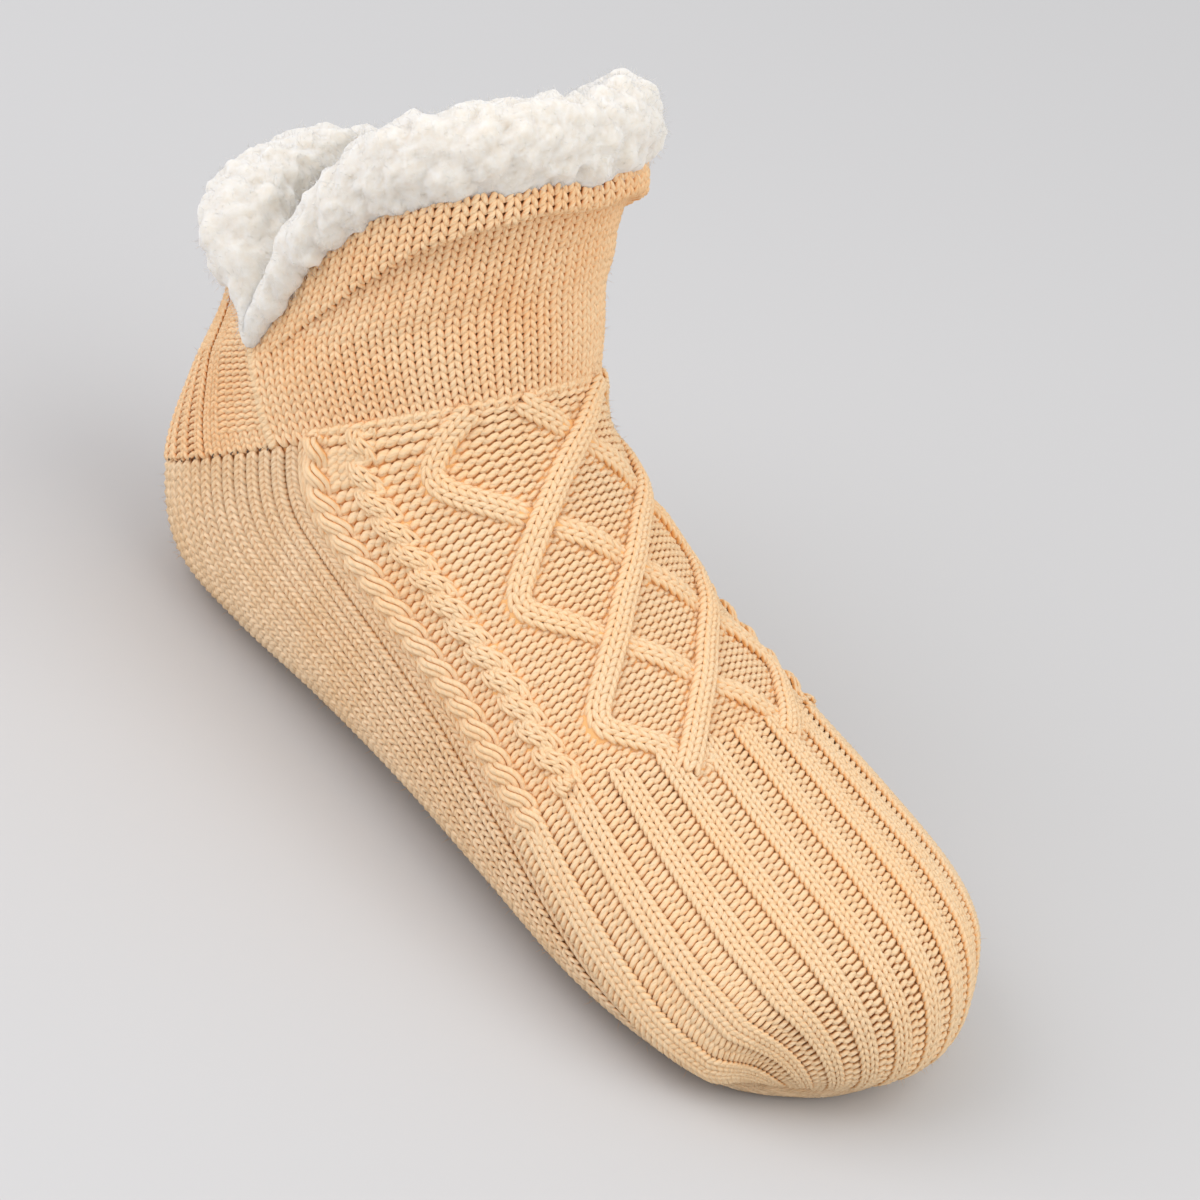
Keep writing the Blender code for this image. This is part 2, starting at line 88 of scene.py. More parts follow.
# Top x, top z, base x, base z, width, waist and bow of each section, as shares of the sizes above.
SECTIONS = np.array(
    (
        (0.974, 0.062, 0.974, 0.062, 0.520, 0.50, 0.046),
        (1.000, 0.178, 0.969, 0.032, 0.635, 0.46, 0.056),
        (0.987, 0.300, 0.956, 0.010, 0.735, 0.44, 0.053),
        (0.946, 0.388, 0.929, -0.008, 0.855, 0.42, 0.038),
        (0.875, 0.446, 0.853, -0.014, 0.962, 0.40, 0.016),
        (0.774, 0.503, 0.733, -0.014, 1.000, 0.40, 0.004),
        (0.659, 0.580, 0.591, 0.009, 0.948, 0.41, 0.0),
        (0.556, 0.677, 0.444, 0.016, 0.866, 0.42, 0.0),
        (0.474, 0.783, 0.302, 0.005, 0.804, 0.44, 0.0),
        (0.418, 0.880, 0.164, -0.014, 0.763, 0.47, 0.0),
        (0.388, 0.946, 0.060, 0.022, 0.738, 0.49, 0.0),
        (0.371, 1.000, 0.006, 0.217, 0.726, 0.50, 0.0),
        (0.340, 1.152, 0.004, 0.485, 0.728, 0.50, 0.0),
        (0.318, 1.320, 0.018, 0.740, 0.745, 0.50, 0.0),
        (0.302, 1.525, 0.006, 1.020, 0.775, 0.50, 0.0),
    )
)
SECTION_SIZES = np.array((LENGTH, INSTEP_HEIGHT, LENGTH, INSTEP_HEIGHT, BALL_WIDTH / 2, 1.0, LENGTH))
CREASE_STATIONS = (0, 1, 2, 3, 4, 5, 6, 7, 11, 14)
CREASE_TURNS = (0.500, 0.545, 0.585, 0.605, 0.575, 0.525, 0.480, 0.455, 0.445, 0.445)
EDGE_TURNS = (
    *(0.0, 0.11, 0.23, 0.33, 0.39, 0.445, 0.482, 0.519),
    *(0.556, 0.593, 0.630, 0.667, 0.741, 0.850, 1.0),
)
EDGE_STATIONS = (
    *(13.92, 14.0, 14.0, 13.96, 13.83, 13.60, 13.42, 13.18),
    *(12.78, 12.30, 12.70, 13.08, 13.52, 13.78, 13.88),
)
# Turn of the side seam, from the end of the heel seam up to the slit.
SEAM_STATIONS = (ANKLE, SLIT_STATION, COLLAR)
SEAM_TURNS = (0.492, 0.593, 0.610)
STATION_RUN = 15.5 * MM  # fabric between two stations of the cuff
# The rolled lip, by turn: how far below the edge its crease lies, and how far it stands out.
LIP_TURNS = (0.0, 0.10, 0.20, 0.27, 0.35, 0.42, 0.50, 0.58)
LIP_WIDTHS = tuple(width * MM for width in (5.6, 6.0, 7.4, 9.6, 12.8, 14.5, 14.0, 13.0))
LIP_CRESTS = tuple(height * MM for height in (3.4, 3.7, 3.6, 3.1, 2.5, 1.7, 0.9, 0.3))

# Centre lines of the loops: wale, course and height. Height is in yarn radii.
KNIT_LEG = np.array(
    (
        (-0.42, -0.80, -1.0),
        (-0.38, -0.48, 0.00),
        (-0.29, -0.10, 0.42),
        (-0.19, 0.28, 0.46),
        (-0.10, 0.64, 0.05),
        (-0.04, 0.92, -0.9),
    )
)
PURL_BEAD = np.array(
    (
        (-0.82, -0.06, -0.8),
        (-0.50, -0.22, 0.05),
        (-0.17, -0.12, 0.42),
        (0.17, 0.12, 0.42),
        (0.50, 0.22, 0.05),
        (0.82, 0.06, -0.8),
    )
)
LOOP_GIRTH = np.array((0.4, 0.92, 1.0, 1.0, 0.86, 0.4))
FINE_POINTS = np.array((0, 1, 3, 4, 5))
PURL_FILL = 0.42  # radius of a purl bead as a share of its course
PURL_RANGE = (0.92, 1.4)  # its least and greatest size as a share of the radius asked for
TWIST_POINTS = 5.0  # points of a strand to one unit of U
STRAND_SEED = 7
FIBRE_LEAN = 0.75  # how far loose fibres lean from the face's normal
FIBRE_SAG = 0.35  # how far they bend, as a share of their length

# Corners of the fleece roll: height over the knitted edge in ROLL_HEIGHT, or along the knit in SKIRT_DROP
# for the skirt inside; depth in ROLL_DEPTH, or in ROLL_BULGE outside the knit where negative.
ROLL_CORNERS = (
    (-0.16, -0.40),
    (-0.02, -1.00),
    (0.36, -1.30),
    (0.70, -1.00),
    (0.95, -0.20),
    (1.02, 0.35),
    (0.90, 0.75),
    (0.60, 1.02),
    (0.15, 1.08),
    (-0.45, 0.98),
    (-0.94, 0.82),
    (-0.97, 0.42),
    (-0.50, 0.36),
    (0.02, 0.36),
    (0.02, -0.05),
)

# Settings of nodes. The colours of a Mix node are its inputs 6 and 7 and its output 2.
MULTIPLY, MULTIPLY_ADD, SINE = ({"operation": name} for name in ("MULTIPLY", "MULTIPLY_ADD", "SINE"))
MIX_COLOUR = {"data_type": "RGBA"}


class Zone(Enum):
    """Strips of fabric, by where their courses are counted from."""

    FOOT = "from the ankle line to the toe, between the sole creases"
    CUFF = "up from the ankle line, front of the cuff"
    HEEL = "up from the heel seam, round the back of the cuff"
    SOLE = "from the heel seam to the toe, under the foot"


class Stitch(Enum):
    """The faces of a knitted loop."""

    KNIT = "two legs that meet in a point"
    FINE_KNIT = "the same legs with fewer points, for the fine sole"
    PURL = "one wavy bead across the wale"


def linear_colour(code: str) -> tuple[float, float, float, float]:
    """Turns an sRGB hex code into linear colour.

    Args:
        code: Six hex digits after a hash.

    Returns:
        Linear red, green, blue and an alpha of 1.
    """
    parts = [int(code[place : place + 2], 16) / 255 for place in (1, 3, 5)]
    red, green, blue = (part / 12.92 if part <= 0.04045 else ((part + 0.055) / 1.055) ** 2.4 for part in parts)
    return red, green, blue, 1.0


def add_node(tree: bpy.types.NodeTree, kind: str, settings: dict | None = None, **inputs) -> bpy.types.Node:
    """Adds a shader node.

    Args:
        tree: Tree that takes the node.
        kind: Node type name without ShaderNode.
        settings: Properties of the node itself.
        inputs: Socket values, output sockets or nodes to link, by socket name with _ for a space, or by
            i and the socket's number.

    Returns:
        The new node.
    """
    node = tree.nodes.new("ShaderNode" + kind)
    for name, value in (settings or {}).items():
        setattr(node, name, value)
    for name, value in inputs.items():
        socket = node.inputs[int(name[1:]) if name[1:].isdigit() else name.replace("_", " ")]
        if isinstance(value, bpy.types.Node):
            value = value.outputs[0]
        if isinstance(value, bpy.types.NodeSocket):
            tree.links.new(value, socket)
        else:
            socket.default_value = value
    return node


def new_material(name: str) -> tuple[Material, Callable[..., bpy.types.Node]]:
    """Makes a node material with an empty tree.

    Args:
        name: Name of the real material.

    Returns:
        The material, and add_node for its tree.
    """
    material = bpy.data.materials.new(name)
    material.use_nodes = True
    material.node_tree.nodes.clear()
    return material, partial(add_node, material.node_tree)


@dataclass(frozen=True)
class YarnFinish:
    """Soft plied acrylic yarn: matt, with a bloom of fuzz, a twist of fibres and painted shade on its lower
    flanks.
    """

    name: str
    light: str
    deep: str
    # Colour of the painted shade on each strand's lower flanks and underside.
    sunk: str
    twist: float = 0.9
    plies: float = 2.0
    fuzz: float = 0.35
    patch: float = 20.0 * MM
    nap: float = 0.4 * MM

    def material(self) -> Material:
        """Builds the yarn.

        Returns:
            A material that reads the strand's UV for twist and for the painted shade on its flanks, and object
            space for patches.
        """
        material, node = new_material(self.name)
        light, deep, sunk = (linear_colour(code) for code in (self.light, self.deep, self.sunk))
        space = node("TexCoord")
        strand = node("SeparateXYZ", Vector=space.outputs["UV"])
        length, girth = strand.outputs["X"], strand.outputs["Y"]
        wound = node("Math", MULTIPLY_ADD, i0=length, i1=self.twist, i2=girth)
        angle = node("Math", MULTIPLY, i0=wound, i1=2 * math.pi * self.plies)
        ply = node("Math", SINE, i0=angle)
        # Fibres run along the twist: long one way, about 0.6 mm wide the other.
        lie = node("CombineXYZ", X=length, Y=wound)
        comb = node("Mapping", Vector=lie, Scale=(1.7, 7.0, 1.0))
        fibre = node("TexNoise", Vector=comb, Scale=1.0, Detail=3.0, Roughness=0.7)
        # Patches are a shade lighter or deeper, as a worn knit is.
        patch = node("TexNoise", Vector=space.outputs["Object"], Scale=1 / self.patch, Detail=2.0)
        height = node("Math", MULTIPLY_ADD, i0=ply, i1=0.22, i2=fibre)
        bump = node("Bump", Strength=0.9, Distance=self.nap, Height=height)
        shade = node("MapRange", Value=patch, From_Min=0.3, From_Max=0.7, To_Min=-0.95, To_Max=-0.55)
        grain = node("Math", MULTIPLY_ADD | {"use_clamp": True}, i0=fibre, i1=2.2, i2=shade)
        crown = node("Mix", MIX_COLOUR, i0=grain, i6=light, i7=deep)
        # A strand's V runs once round it, with its top at a quarter. Its lower flanks and underside are
        # painted with the sunk colour: painted shade standing in for the shaded, warmly lit gaps between
        # strands.
        round_angle = node("Math", MULTIPLY, i0=girth, i1=2 * math.pi)
        topside = node("Math", SINE, i0=round_angle)
        smooth = {"interpolation_type": "SMOOTHSTEP"}
        painted_flank_shade = node("MapRange", smooth, Value=topside, From_Min=0.80, From_Max=-0.45, To_Min=0.0, To_Max=1.0)
        colour = node("Mix", MIX_COLOUR, i0=painted_flank_shade, i6=crown.outputs[2], i7=sunk)
        surface = node(
            "BsdfPrincipled",
            Base_Color=colour.outputs[2],
            Roughness=0.85,
            Specular_IOR_Level=0.15,
            Sheen_Weight=self.fuzz,
            Sheen_Roughness=0.45,
            Sheen_Tint=light,
            Normal=bump,
        )
        node("OutputMaterial", Surface=surface)
        return material


@dataclass(frozen=True)
class FleeceFinish:
    """Curly pile fleece: white, no gloss, light goes a little way in, with painted shade in the hollows
    between curls.
    """

    name: str
    light: str
    # Colour of the painted shade in the hollows between curls.
    deep: str
    curl: float = 2.2 * MM
    nap: float = 0.5 * MM
    fibre: float = 0.5 * MM

    def material(self) -> Material:
        """Builds the fleece.

        Returns:
            A material with curls and fine fibres in the bump, and painted shade in the hollows between curls.
        """
        material, node = new_material(self.name)
        place = node("TexCoord").outputs["Object"]
        curls = node("TexNoise", Vector=place, Scale=1 / self.curl, Detail=5.0, Roughness=0.65)
        fibre = node("TexNoise", Vector=place, Scale=1 / self.fibre, Detail=2.0)
        height = node("Math", MULTIPLY_ADD, i0=fibre, i1=0.35, i2=curls)
        bump = node("Bump", Strength=0.3, Distance=self.nap, Height=height)
        # Painted shade: where the curls are low, in the hollows of the pile, the colour turns to the deeper,
        # warmer tone, standing in for shade and warm bounce light there.
        tone = node("MapRange", Value=curls, From_Min=0.35, From_Max=0.65, To_Min=1.0, To_Max=0.0)
        colour = node("Mix", MIX_COLOUR, i0=tone, i6=linear_colour(self.light), i7=linear_colour(self.deep))
        surface = node(
            "BsdfPrincipled",
            Base_Color=colour.outputs[2],
            Roughness=0.95,
            Specular_IOR_Level=0.1,
            Subsurface_Weight=0.9,
            Subsurface_Radius=(1.0, 0.95, 0.85),
            Subsurface_Scale=4.0 * MM,
            Sheen_Weight=0.3,
            Sheen_Roughness=0.6,
            Normal=bump,
        )
        node("OutputMaterial", Surface=surface)
        return material


@dataclass(frozen=True)
class PaperFinish:
    """Matt seamless paper under the shoe."""

    name: str
    tone: str

    def material(self) -> Material:
        """Builds the paper.

        Returns:
            A plain matt material.
        """
        material, node = new_material(self.name)
        tone = linear_colour(self.tone)
        surface = node("BsdfPrincipled", Base_Color=tone, Roughness=0.9, Specular_IOR_Level=0.1)
        node("OutputMaterial", Surface=surface)
        return material


def unit(vectors: Array) -> Array:
    """Scales vectors, on the last axis of an array, to length 1."""
    return vectors / np.maximum(np.linalg.norm(vectors, axis=-1, keepdims=True), 1e-12)


def hill(distance: Array, reach: float) -> Array:
    """A smooth hill: 1 at no distance from its top, 0 at reach and beyond."""
    return np.clip(1 - (distance / reach) ** 2, 0, 1) ** 1.5


def travelled(line: Array) -> Array:
    """Distance run along a line of points, 0 at the first."""
    return np.concatenate(((0.0,), np.cumsum(np.linalg.norm(np.diff(line, axis=0), axis=1))))


def read_line(place: Array, run: Array, line: Array) -> Array:
    """Reads a line of points, or of vectors, at places along its run."""
    return np.stack([np.interp(place, run, line[:, axis]) for axis in range(3)], -1)


def blend(near: Array, near_slope: Array, far: Array, far_slope: Array, t: Array | float) -> Array:
    """Reads a smooth curve between two values.

    Args:
        near: Value at 0.
        near_slope: Slope at 0.
        far: Value at 1.
        far_slope: Slope at 1.
        t: Where to read, from 0 to 1.

    Returns:
        The value there.
    """
    return (
        near * (2 * t**3 - 3 * t**2 + 1)
        + near_slope * (t**3 - 2 * t**2 + t)
        + far * (3 * t**2 - 2 * t**3)
        + far_slope * (t**3 - t**2)
    )


def smoothed(values: Array, kernel: Array, mode: str, **how: str) -> Array:
    """Smooths a row of values.

    Args:
        values: The row.
        kernel: Weights, an odd number of them.
        mode: How numpy carries the row on past its ends.
        how: More on that.

    Returns:
        As many smooth values.
    """
    padded = np.pad(values, len(kernel) // 2, mode=mode, **how)
    return np.convolve(padded, kernel / kernel.sum(), mode="valid")


def section_points(row: Array, turns: Array) -> Array:
    """Points of one section of the foot.

    Args:
        row: Top x, top z, base x, base z, half width, waist and bow in metres.
        turns: From -1 to 1, with 0 on the instep and 1 under the foot.

    Returns:
        A point for each turn.
    """
    angle = np.linspace(0.0, math.pi, SECTION_STEPS)
    reach = np.cos(angle)
    top = np.clip(reach, 0, None) ** (2 / TOP_ROUND)
    base = np.clip(-reach, 0, None) ** (2 / BASE_ROUND)
    side = np.clip(np.sin(angle), 0, None) ** np.where(reach > 0, 2 / TOP_ROUND, 2 / BASE_ROUND)
    middle = row[2:4] + (row[0:2] - row[2:4]) * row[5]
    plane = middle + np.outer(top, row[0:2] - middle) + np.outer(base, row[2:4] - middle)
    points = np.column_stack((plane[:, 0] - row[6] * side**2, side * row[4], np.maximum(plane[:, 1], 0.0)))
    run = travelled(points)
    found = read_line(np.abs(turns), run / run[-1], points)
    found[:, 1] *= np.where(turns < 0, -1.0, 1.0)
    return found


@dataclass
class LastShape:
    """The outer face of the knit, as a fine grid that any fabric point is read from."""

    rows_per_station: int = 40
    columns: int = 481
    points: Array = field(init=False)
    normals: Array = field(init=False)
    stations: Array = field(init=False)
    front: Array = field(init=False)
    back: Array = field(init=False)

    def __post_init__(self) -> None:
        """Fills the grid and sets it in the CAD part's place."""
        self.stations = np.linspace(0, COLLAR, int(COLLAR) * self.rows_per_station + 1)
        rows = SECTIONS * SECTION_SIZES
        slopes = np.gradient(rows, axis=0)
        low = np.clip(np.floor(self.stations).astype(int), 0, len(rows) - 2)
        share = (self.stations - low)[:, None]
        turns = np.linspace(-1, 1, self.columns)
        sections = blend(rows[low], slopes[low], rows[low + 1], slopes[low + 1], share)
        grid = np.array([section_points(row, turns) for row in sections])
        grid[:, :, 0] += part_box("knit_sole")[0].x - grid[int(ANKLE) * self.rows_per_station, -1, 0]
        ring = np.concatenate((grid[:, -2:-1], grid, grid[:, 1:2]), axis=1)
        normals = unit(np.cross(ring[:, 2:] - ring[:, :-2], np.gradient(grid, axis=0)))
        normals *= np.sign((normals * (grid - grid.mean(axis=1, keepdims=True))).sum())
        self.points, self.normals = grid, normals
        self.front, self.back = travelled(grid[:, self.columns // 2]), travelled(grid[:, -1])

    def read(self, station: Array, turn: Array) -> tuple[Array, Array]:
        """Finds fabric points on the grid.

        Args:
            station: Section numbers, 0 at the toe seam and 14 at the collar.
            turn: Turns round the section, any number.

        Returns:
            The points and the outward normals there.
        """
        s = np.clip(station * self.rows_per_station, 0, len(self.stations) - 1.001)
        t = np.clip(((turn + 1) % 2) / 2 * (self.columns - 1), 0, self.columns - 1.001)
        i, j = np.floor(s).astype(int), np.floor(t).astype(int)
        u, v = (s - i)[..., None], (t - j)[..., None]
        found = []
        for grid in (self.points, self.normals):
            near = grid[i, j] * (1 - v) + grid[i, j + 1] * v
            far = grid[i + 1, j] * (1 - v) + grid[i + 1, j + 1] * v
            found.append(near * (1 - u) + far * u)
        return found[0], unit(found[1])

    def ankle_length(self, line: Array) -> float:
        """Metres from the toe seam to the ankle along the front or the back line."""
        return float(np.interp(ANKLE, self.stations, line))


def crease_turn(station: Array) -> Array:
    """Turn of the sole crease at section numbers."""
    return np.interp(station, CREASE_STATIONS, CREASE_TURNS)


def edge_station(turn: Array) -> Array:
    """Section number of the knitted collar edge at turns round the cuff."""
    return np.interp(np.abs((turn + 1) % 2 - 1), EDGE_TURNS, EDGE_STATIONS)


def seam_turn(station: Array) -> Array:
    """Turn of the side seam of the cuff at section numbers."""
    return np.interp(station, SEAM_STATIONS, SEAM_TURNS)


def rib_start(column: Array) -> Array:
    """Metres below the ankle line at which the toe ribs begin, by grid column."""
    return np.interp(column, RIB_COLUMNS, RIB_ROWS) / TRELLIS_ROWS * TRELLIS_LENGTH


@dataclass
class Strands:
    """Many short yarns of the same number of points."""

    centre: Array
    up: Array
    radius: Array

    @staticmethod
    def joined(groups: list["Strands"]) -> "Strands":
        """Puts groups of strands with the same number of points together."""
        parts = ([getattr(group, name) for group in groups] for name in ("centre", "up", "radius"))
        return Strands(*(np.concatenate(part) for part in parts))

    def surface(self, sides: int) -> tuple[Array, Array, Array]:
        """Tubes round the strands, closed to a point at both ends.

        Args:
            sides: Faces round a tube.

        Returns:
            Vertices, faces of four corners where a triangle repeats its last one, and UV of each corner.
        """
        count, length = self.radius.shape
        tangent = unit(np.gradient(self.centre, axis=1))
        side = unit(np.cross(tangent, self.up))
        upright = np.cross(side, tangent)
        corner = np.arange(sides)
        after = (corner + 1) % sides
        angle = (corner * 2 * math.pi / sides)[:, None]
        spokes = np.cos(angle) * side[:, 1:-1, None] + np.sin(angle) * upright[:, 1:-1, None]
        rings = self.centre[:, 1:-1, None] + self.radius[:, 1:-1, None, None] * spokes
        points = np.concatenate((self.centre[:, :1], rings.reshape(count, -1, 3), self.centre[:, -1:]), axis=1)

        def spot(point: int, turn: Array) -> Array:
            """UV of corners at one point of a strand."""
            return np.column_stack((np.full(sides, point / TWIST_POINTS), turn / sides))

        faces, places = [], []
        for point in range(1, length - 2):
            low, high = 1 + (point - 1) * sides, 1 + point * sides
            faces.append(np.column_stack((low + corner, high + corner, high + after, low + after)))
            ends = (point, corner), (point + 1, corner), (point + 1, corner + 1), (point, corner + 1)
            places.append(np.stack([spot(*end) for end in ends], 1))
        last = (length - 2) * sides + 1
        for tip, rim, pole, ring, (first, then), turns in (
            (0, 1, 0, 1, (corner, after), (corner, corner + 1)),
            (length - 1, length - 2, last, last - sides, (after, corner), (corner + 1, corner)),
        ):
            faces.append(np.column_stack((np.full(sides, pole), ring + first, ring + then, ring + then)))
            trio = spot(tip, corner + 0.5), spot(rim, turns[0]), spot(rim, turns[1])
            places.append(np.stack((*trio, trio[2]), 1))
        starts = np.arange(count)[:, None, None] * points.shape[1]
        every = (np.concatenate(faces) + starts).reshape(-1, 4)
        shift = np.random.default_rng(STRAND_SEED).random((count, 1, 1, 1)) * np.array((1.0, 0.0))
        return points.reshape(-1, 3), every, (np.concatenate(places) + shift).reshape(-1, 4, 2)


@dataclass(frozen=True)
class Fabric:
    """A strip of knitting on the last, counted in wales across and metres along from its start."""

    last: LastShape
    zone: Zone
    wales: int
    course: float

    @property
    def sense(self) -> float:
        """1 where courses count towards the collar, -1 where they count towards the toe."""
        return 1.0 if self.zone in (Zone.CUFF, Zone.HEEL) else -1.0

    def address(self, across: Array, along: Array) -> tuple[Array, Array]:
        """Finds the section and turn of fabric points.

        Args:
            across: Wales from the near edge.
            along: Metres from the ankle line or heel seam.

        Returns:
            Station and turn.
        """
        line = self.last.front if self.zone in (Zone.FOOT, Zone.CUFF) else self.last.back
        start = self.last.ankle_length(line)
        station = np.interp(start + self.sense * along, line, self.last.stations)
        share = across / self.wales
        edge = crease_turn(station) if self.zone in (Zone.FOOT, Zone.SOLE) else seam_turn(station)
        if self.zone in (Zone.FOOT, Zone.CUFF):
            return station, (2 * share - 1) * edge
        return station, edge + (2 - 2 * edge) * share

    def read(self, across: Array, along: Array) -> tuple[Array, Array]:
        """Finds fabric points in space, and the outward normals there."""
        return self.last.read(*self.address(across, along))

    def wale_width(self, across: Array, along: Array) -> Array:
        """Width of one wale in metres."""
        left, right = self.read(across - 0.5, along)[0], self.read(across + 0.5, along)[0]
        return np.linalg.norm(right - left, axis=-1)

    def course_height(self, across: Array, along: Array) -> Array:
        """Height of one course in metres, which grows where the fabric is stretched round a bend."""
        half = self.course / 2
        return np.linalg.norm(self.read(across, along + half)[0] - self.read(across, along - half)[0], axis=-1)

    def middles(self, start: float, stop: float, course: float) -> tuple[Array, Array]:
        """Middles of all loops of the strip.

        Args:
            start: Where the first course starts, in metres.
            stop: Where the last one ends.
            course: Height of a course in metres.

        Returns:
            Wale and course of each loop.
        """
        along = np.arange(start + course / 2, stop, course)
        across, courses = np.meshgrid(np.arange(self.wales) + 0.5, along)
        return across.ravel(), courses.ravel()

    def loops(
        self,
        across: Array,
        along: Array,
        lift: Array,
        kind: Stitch,
        girth: float,
        rise: Callable[[Array, Array], Array] | None = None,
    ) -> Strands:
        """Lays knitted loops.

        Args:
            across: Wale of each loop's middle.
            along: Course of each loop's middle in metres.
            lift: Height of the fabric there in metres.
            kind: Knit or purl face.
            girth: Yarn radius as a share of the wale.
            rise: More height, read at every point of a loop.

        Returns:
            The loops' strands.
        """
        radius = self.wale_width(across, along) * girth
        if kind is Stitch.PURL:
            least, most = (share * radius for share in PURL_RANGE)
            radius = np.clip(PURL_FILL * self.course_height(across, along), least, most)
        points = FINE_POINTS if kind is Stitch.FINE_KNIT else np.arange(len(LOOP_GIRTH))
        leg = KNIT_LEG[points]
        shapes = [PURL_BEAD] if kind is Stitch.PURL else [leg, leg * (-1, 1, 1)]
        made = []
        for shape in shapes:
            places = across[:, None] + shape[:, 0], along[:, None] + self.sense * shape[:, 1] * self.course
            point, normal = self.read(*places)
            height = lift[:, None] + shape[:, 2] * radius[:, None]
            if rise is not None:
                height = height + rise(*places)
            girths = radius[:, None] * LOOP_GIRTH[points]
            made.append(Strands(point + normal * height[..., None], normal, girths))
        return Strands.joined(made)


def mesh_piece(
    name: str, points: Array, faces: Array, uv: Array | None, material: Material, slot: str
) -> bpy.types.Object:
    """Makes one joined mesh that rides on the slipper.

    Args:
        name: Name of the piece.
        points: Vertices in the row frame.
        faces: Corners of each face; a triangle repeats its last corner.
        uv: UV of each corner, or None.
        material: Its finish.
        slot: The record's material slot; not used.

    Returns:
        The object.
    """
    keep = np.ones(faces.shape, bool)
    keep[faces[:, 2] == faces[:, 3], 3] = False
    sizes = keep.sum(axis=1)
    mesh = bpy.data.meshes.new(name)
    mesh.vertices.add(len(points))
    mesh.vertices.foreach_set("co", points.astype(np.float32).ravel())
    mesh.loops.add(int(sizes.sum()))
    mesh.loops.foreach_set("vertex_index", faces[keep].astype(np.int32))
    mesh.polygons.add(len(faces))
    mesh.polygons.foreach_set("loop_start", np.concatenate(((0,), np.cumsum(sizes)[:-1])).astype(np.int32))
    mesh.polygons.foreach_set("use_smooth", np.ones(len(faces), bool))
    mesh.update(calc_edges=True)
    mesh.validate()
    if uv is not None:
        layer = mesh.uv_layers.new(name="strand")
        layer.data.foreach_set("uv", uv[keep].astype(np.float32).ravel())
    mesh.materials.append(material)
    piece = bpy.data.objects.new(name, mesh)
    bpy.context.scene.collection.objects.link(piece)
    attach(piece, "root")
    LOG.info("%s: %d triangles", name, int((sizes - 2).sum()))
    return piece


def yarn_piece(name: str, strands: Strands, sides: int, material: Material, slot: str) -> None:
    """Makes a piece of tubes with so many sides round its strands."""
    mesh_piece(name, *strands.surface(sides), material, slot)


def closed_faces(rows: int, columns: int) -> Array:
    """Faces of a grid of points that closes both ways.

    Args:
        rows: Number of rows.
        columns: Number of points in a row.

    Returns:
        Four corners for each face.
    """
    row, column = np.arange(rows)[:, None] * columns, np.arange(columns)
    next_row, after = np.roll(row, -1, 0), (column + 1) % columns
    return np.stack((row + column, next_row + column, next_row + after, row + after), -1).reshape(-1, 4)


@dataclass(frozen=True)
class Fold:
    """A soft fold in the fabric: its height, how far from a line its top lies, and how far it reaches."""

    height: float
    place: float
    reach: float

    def rise(self, distance: Array) -> Array:
        """Height of the fabric at distances from the line."""
        return self.height * hill(distance - self.place, self.reach)


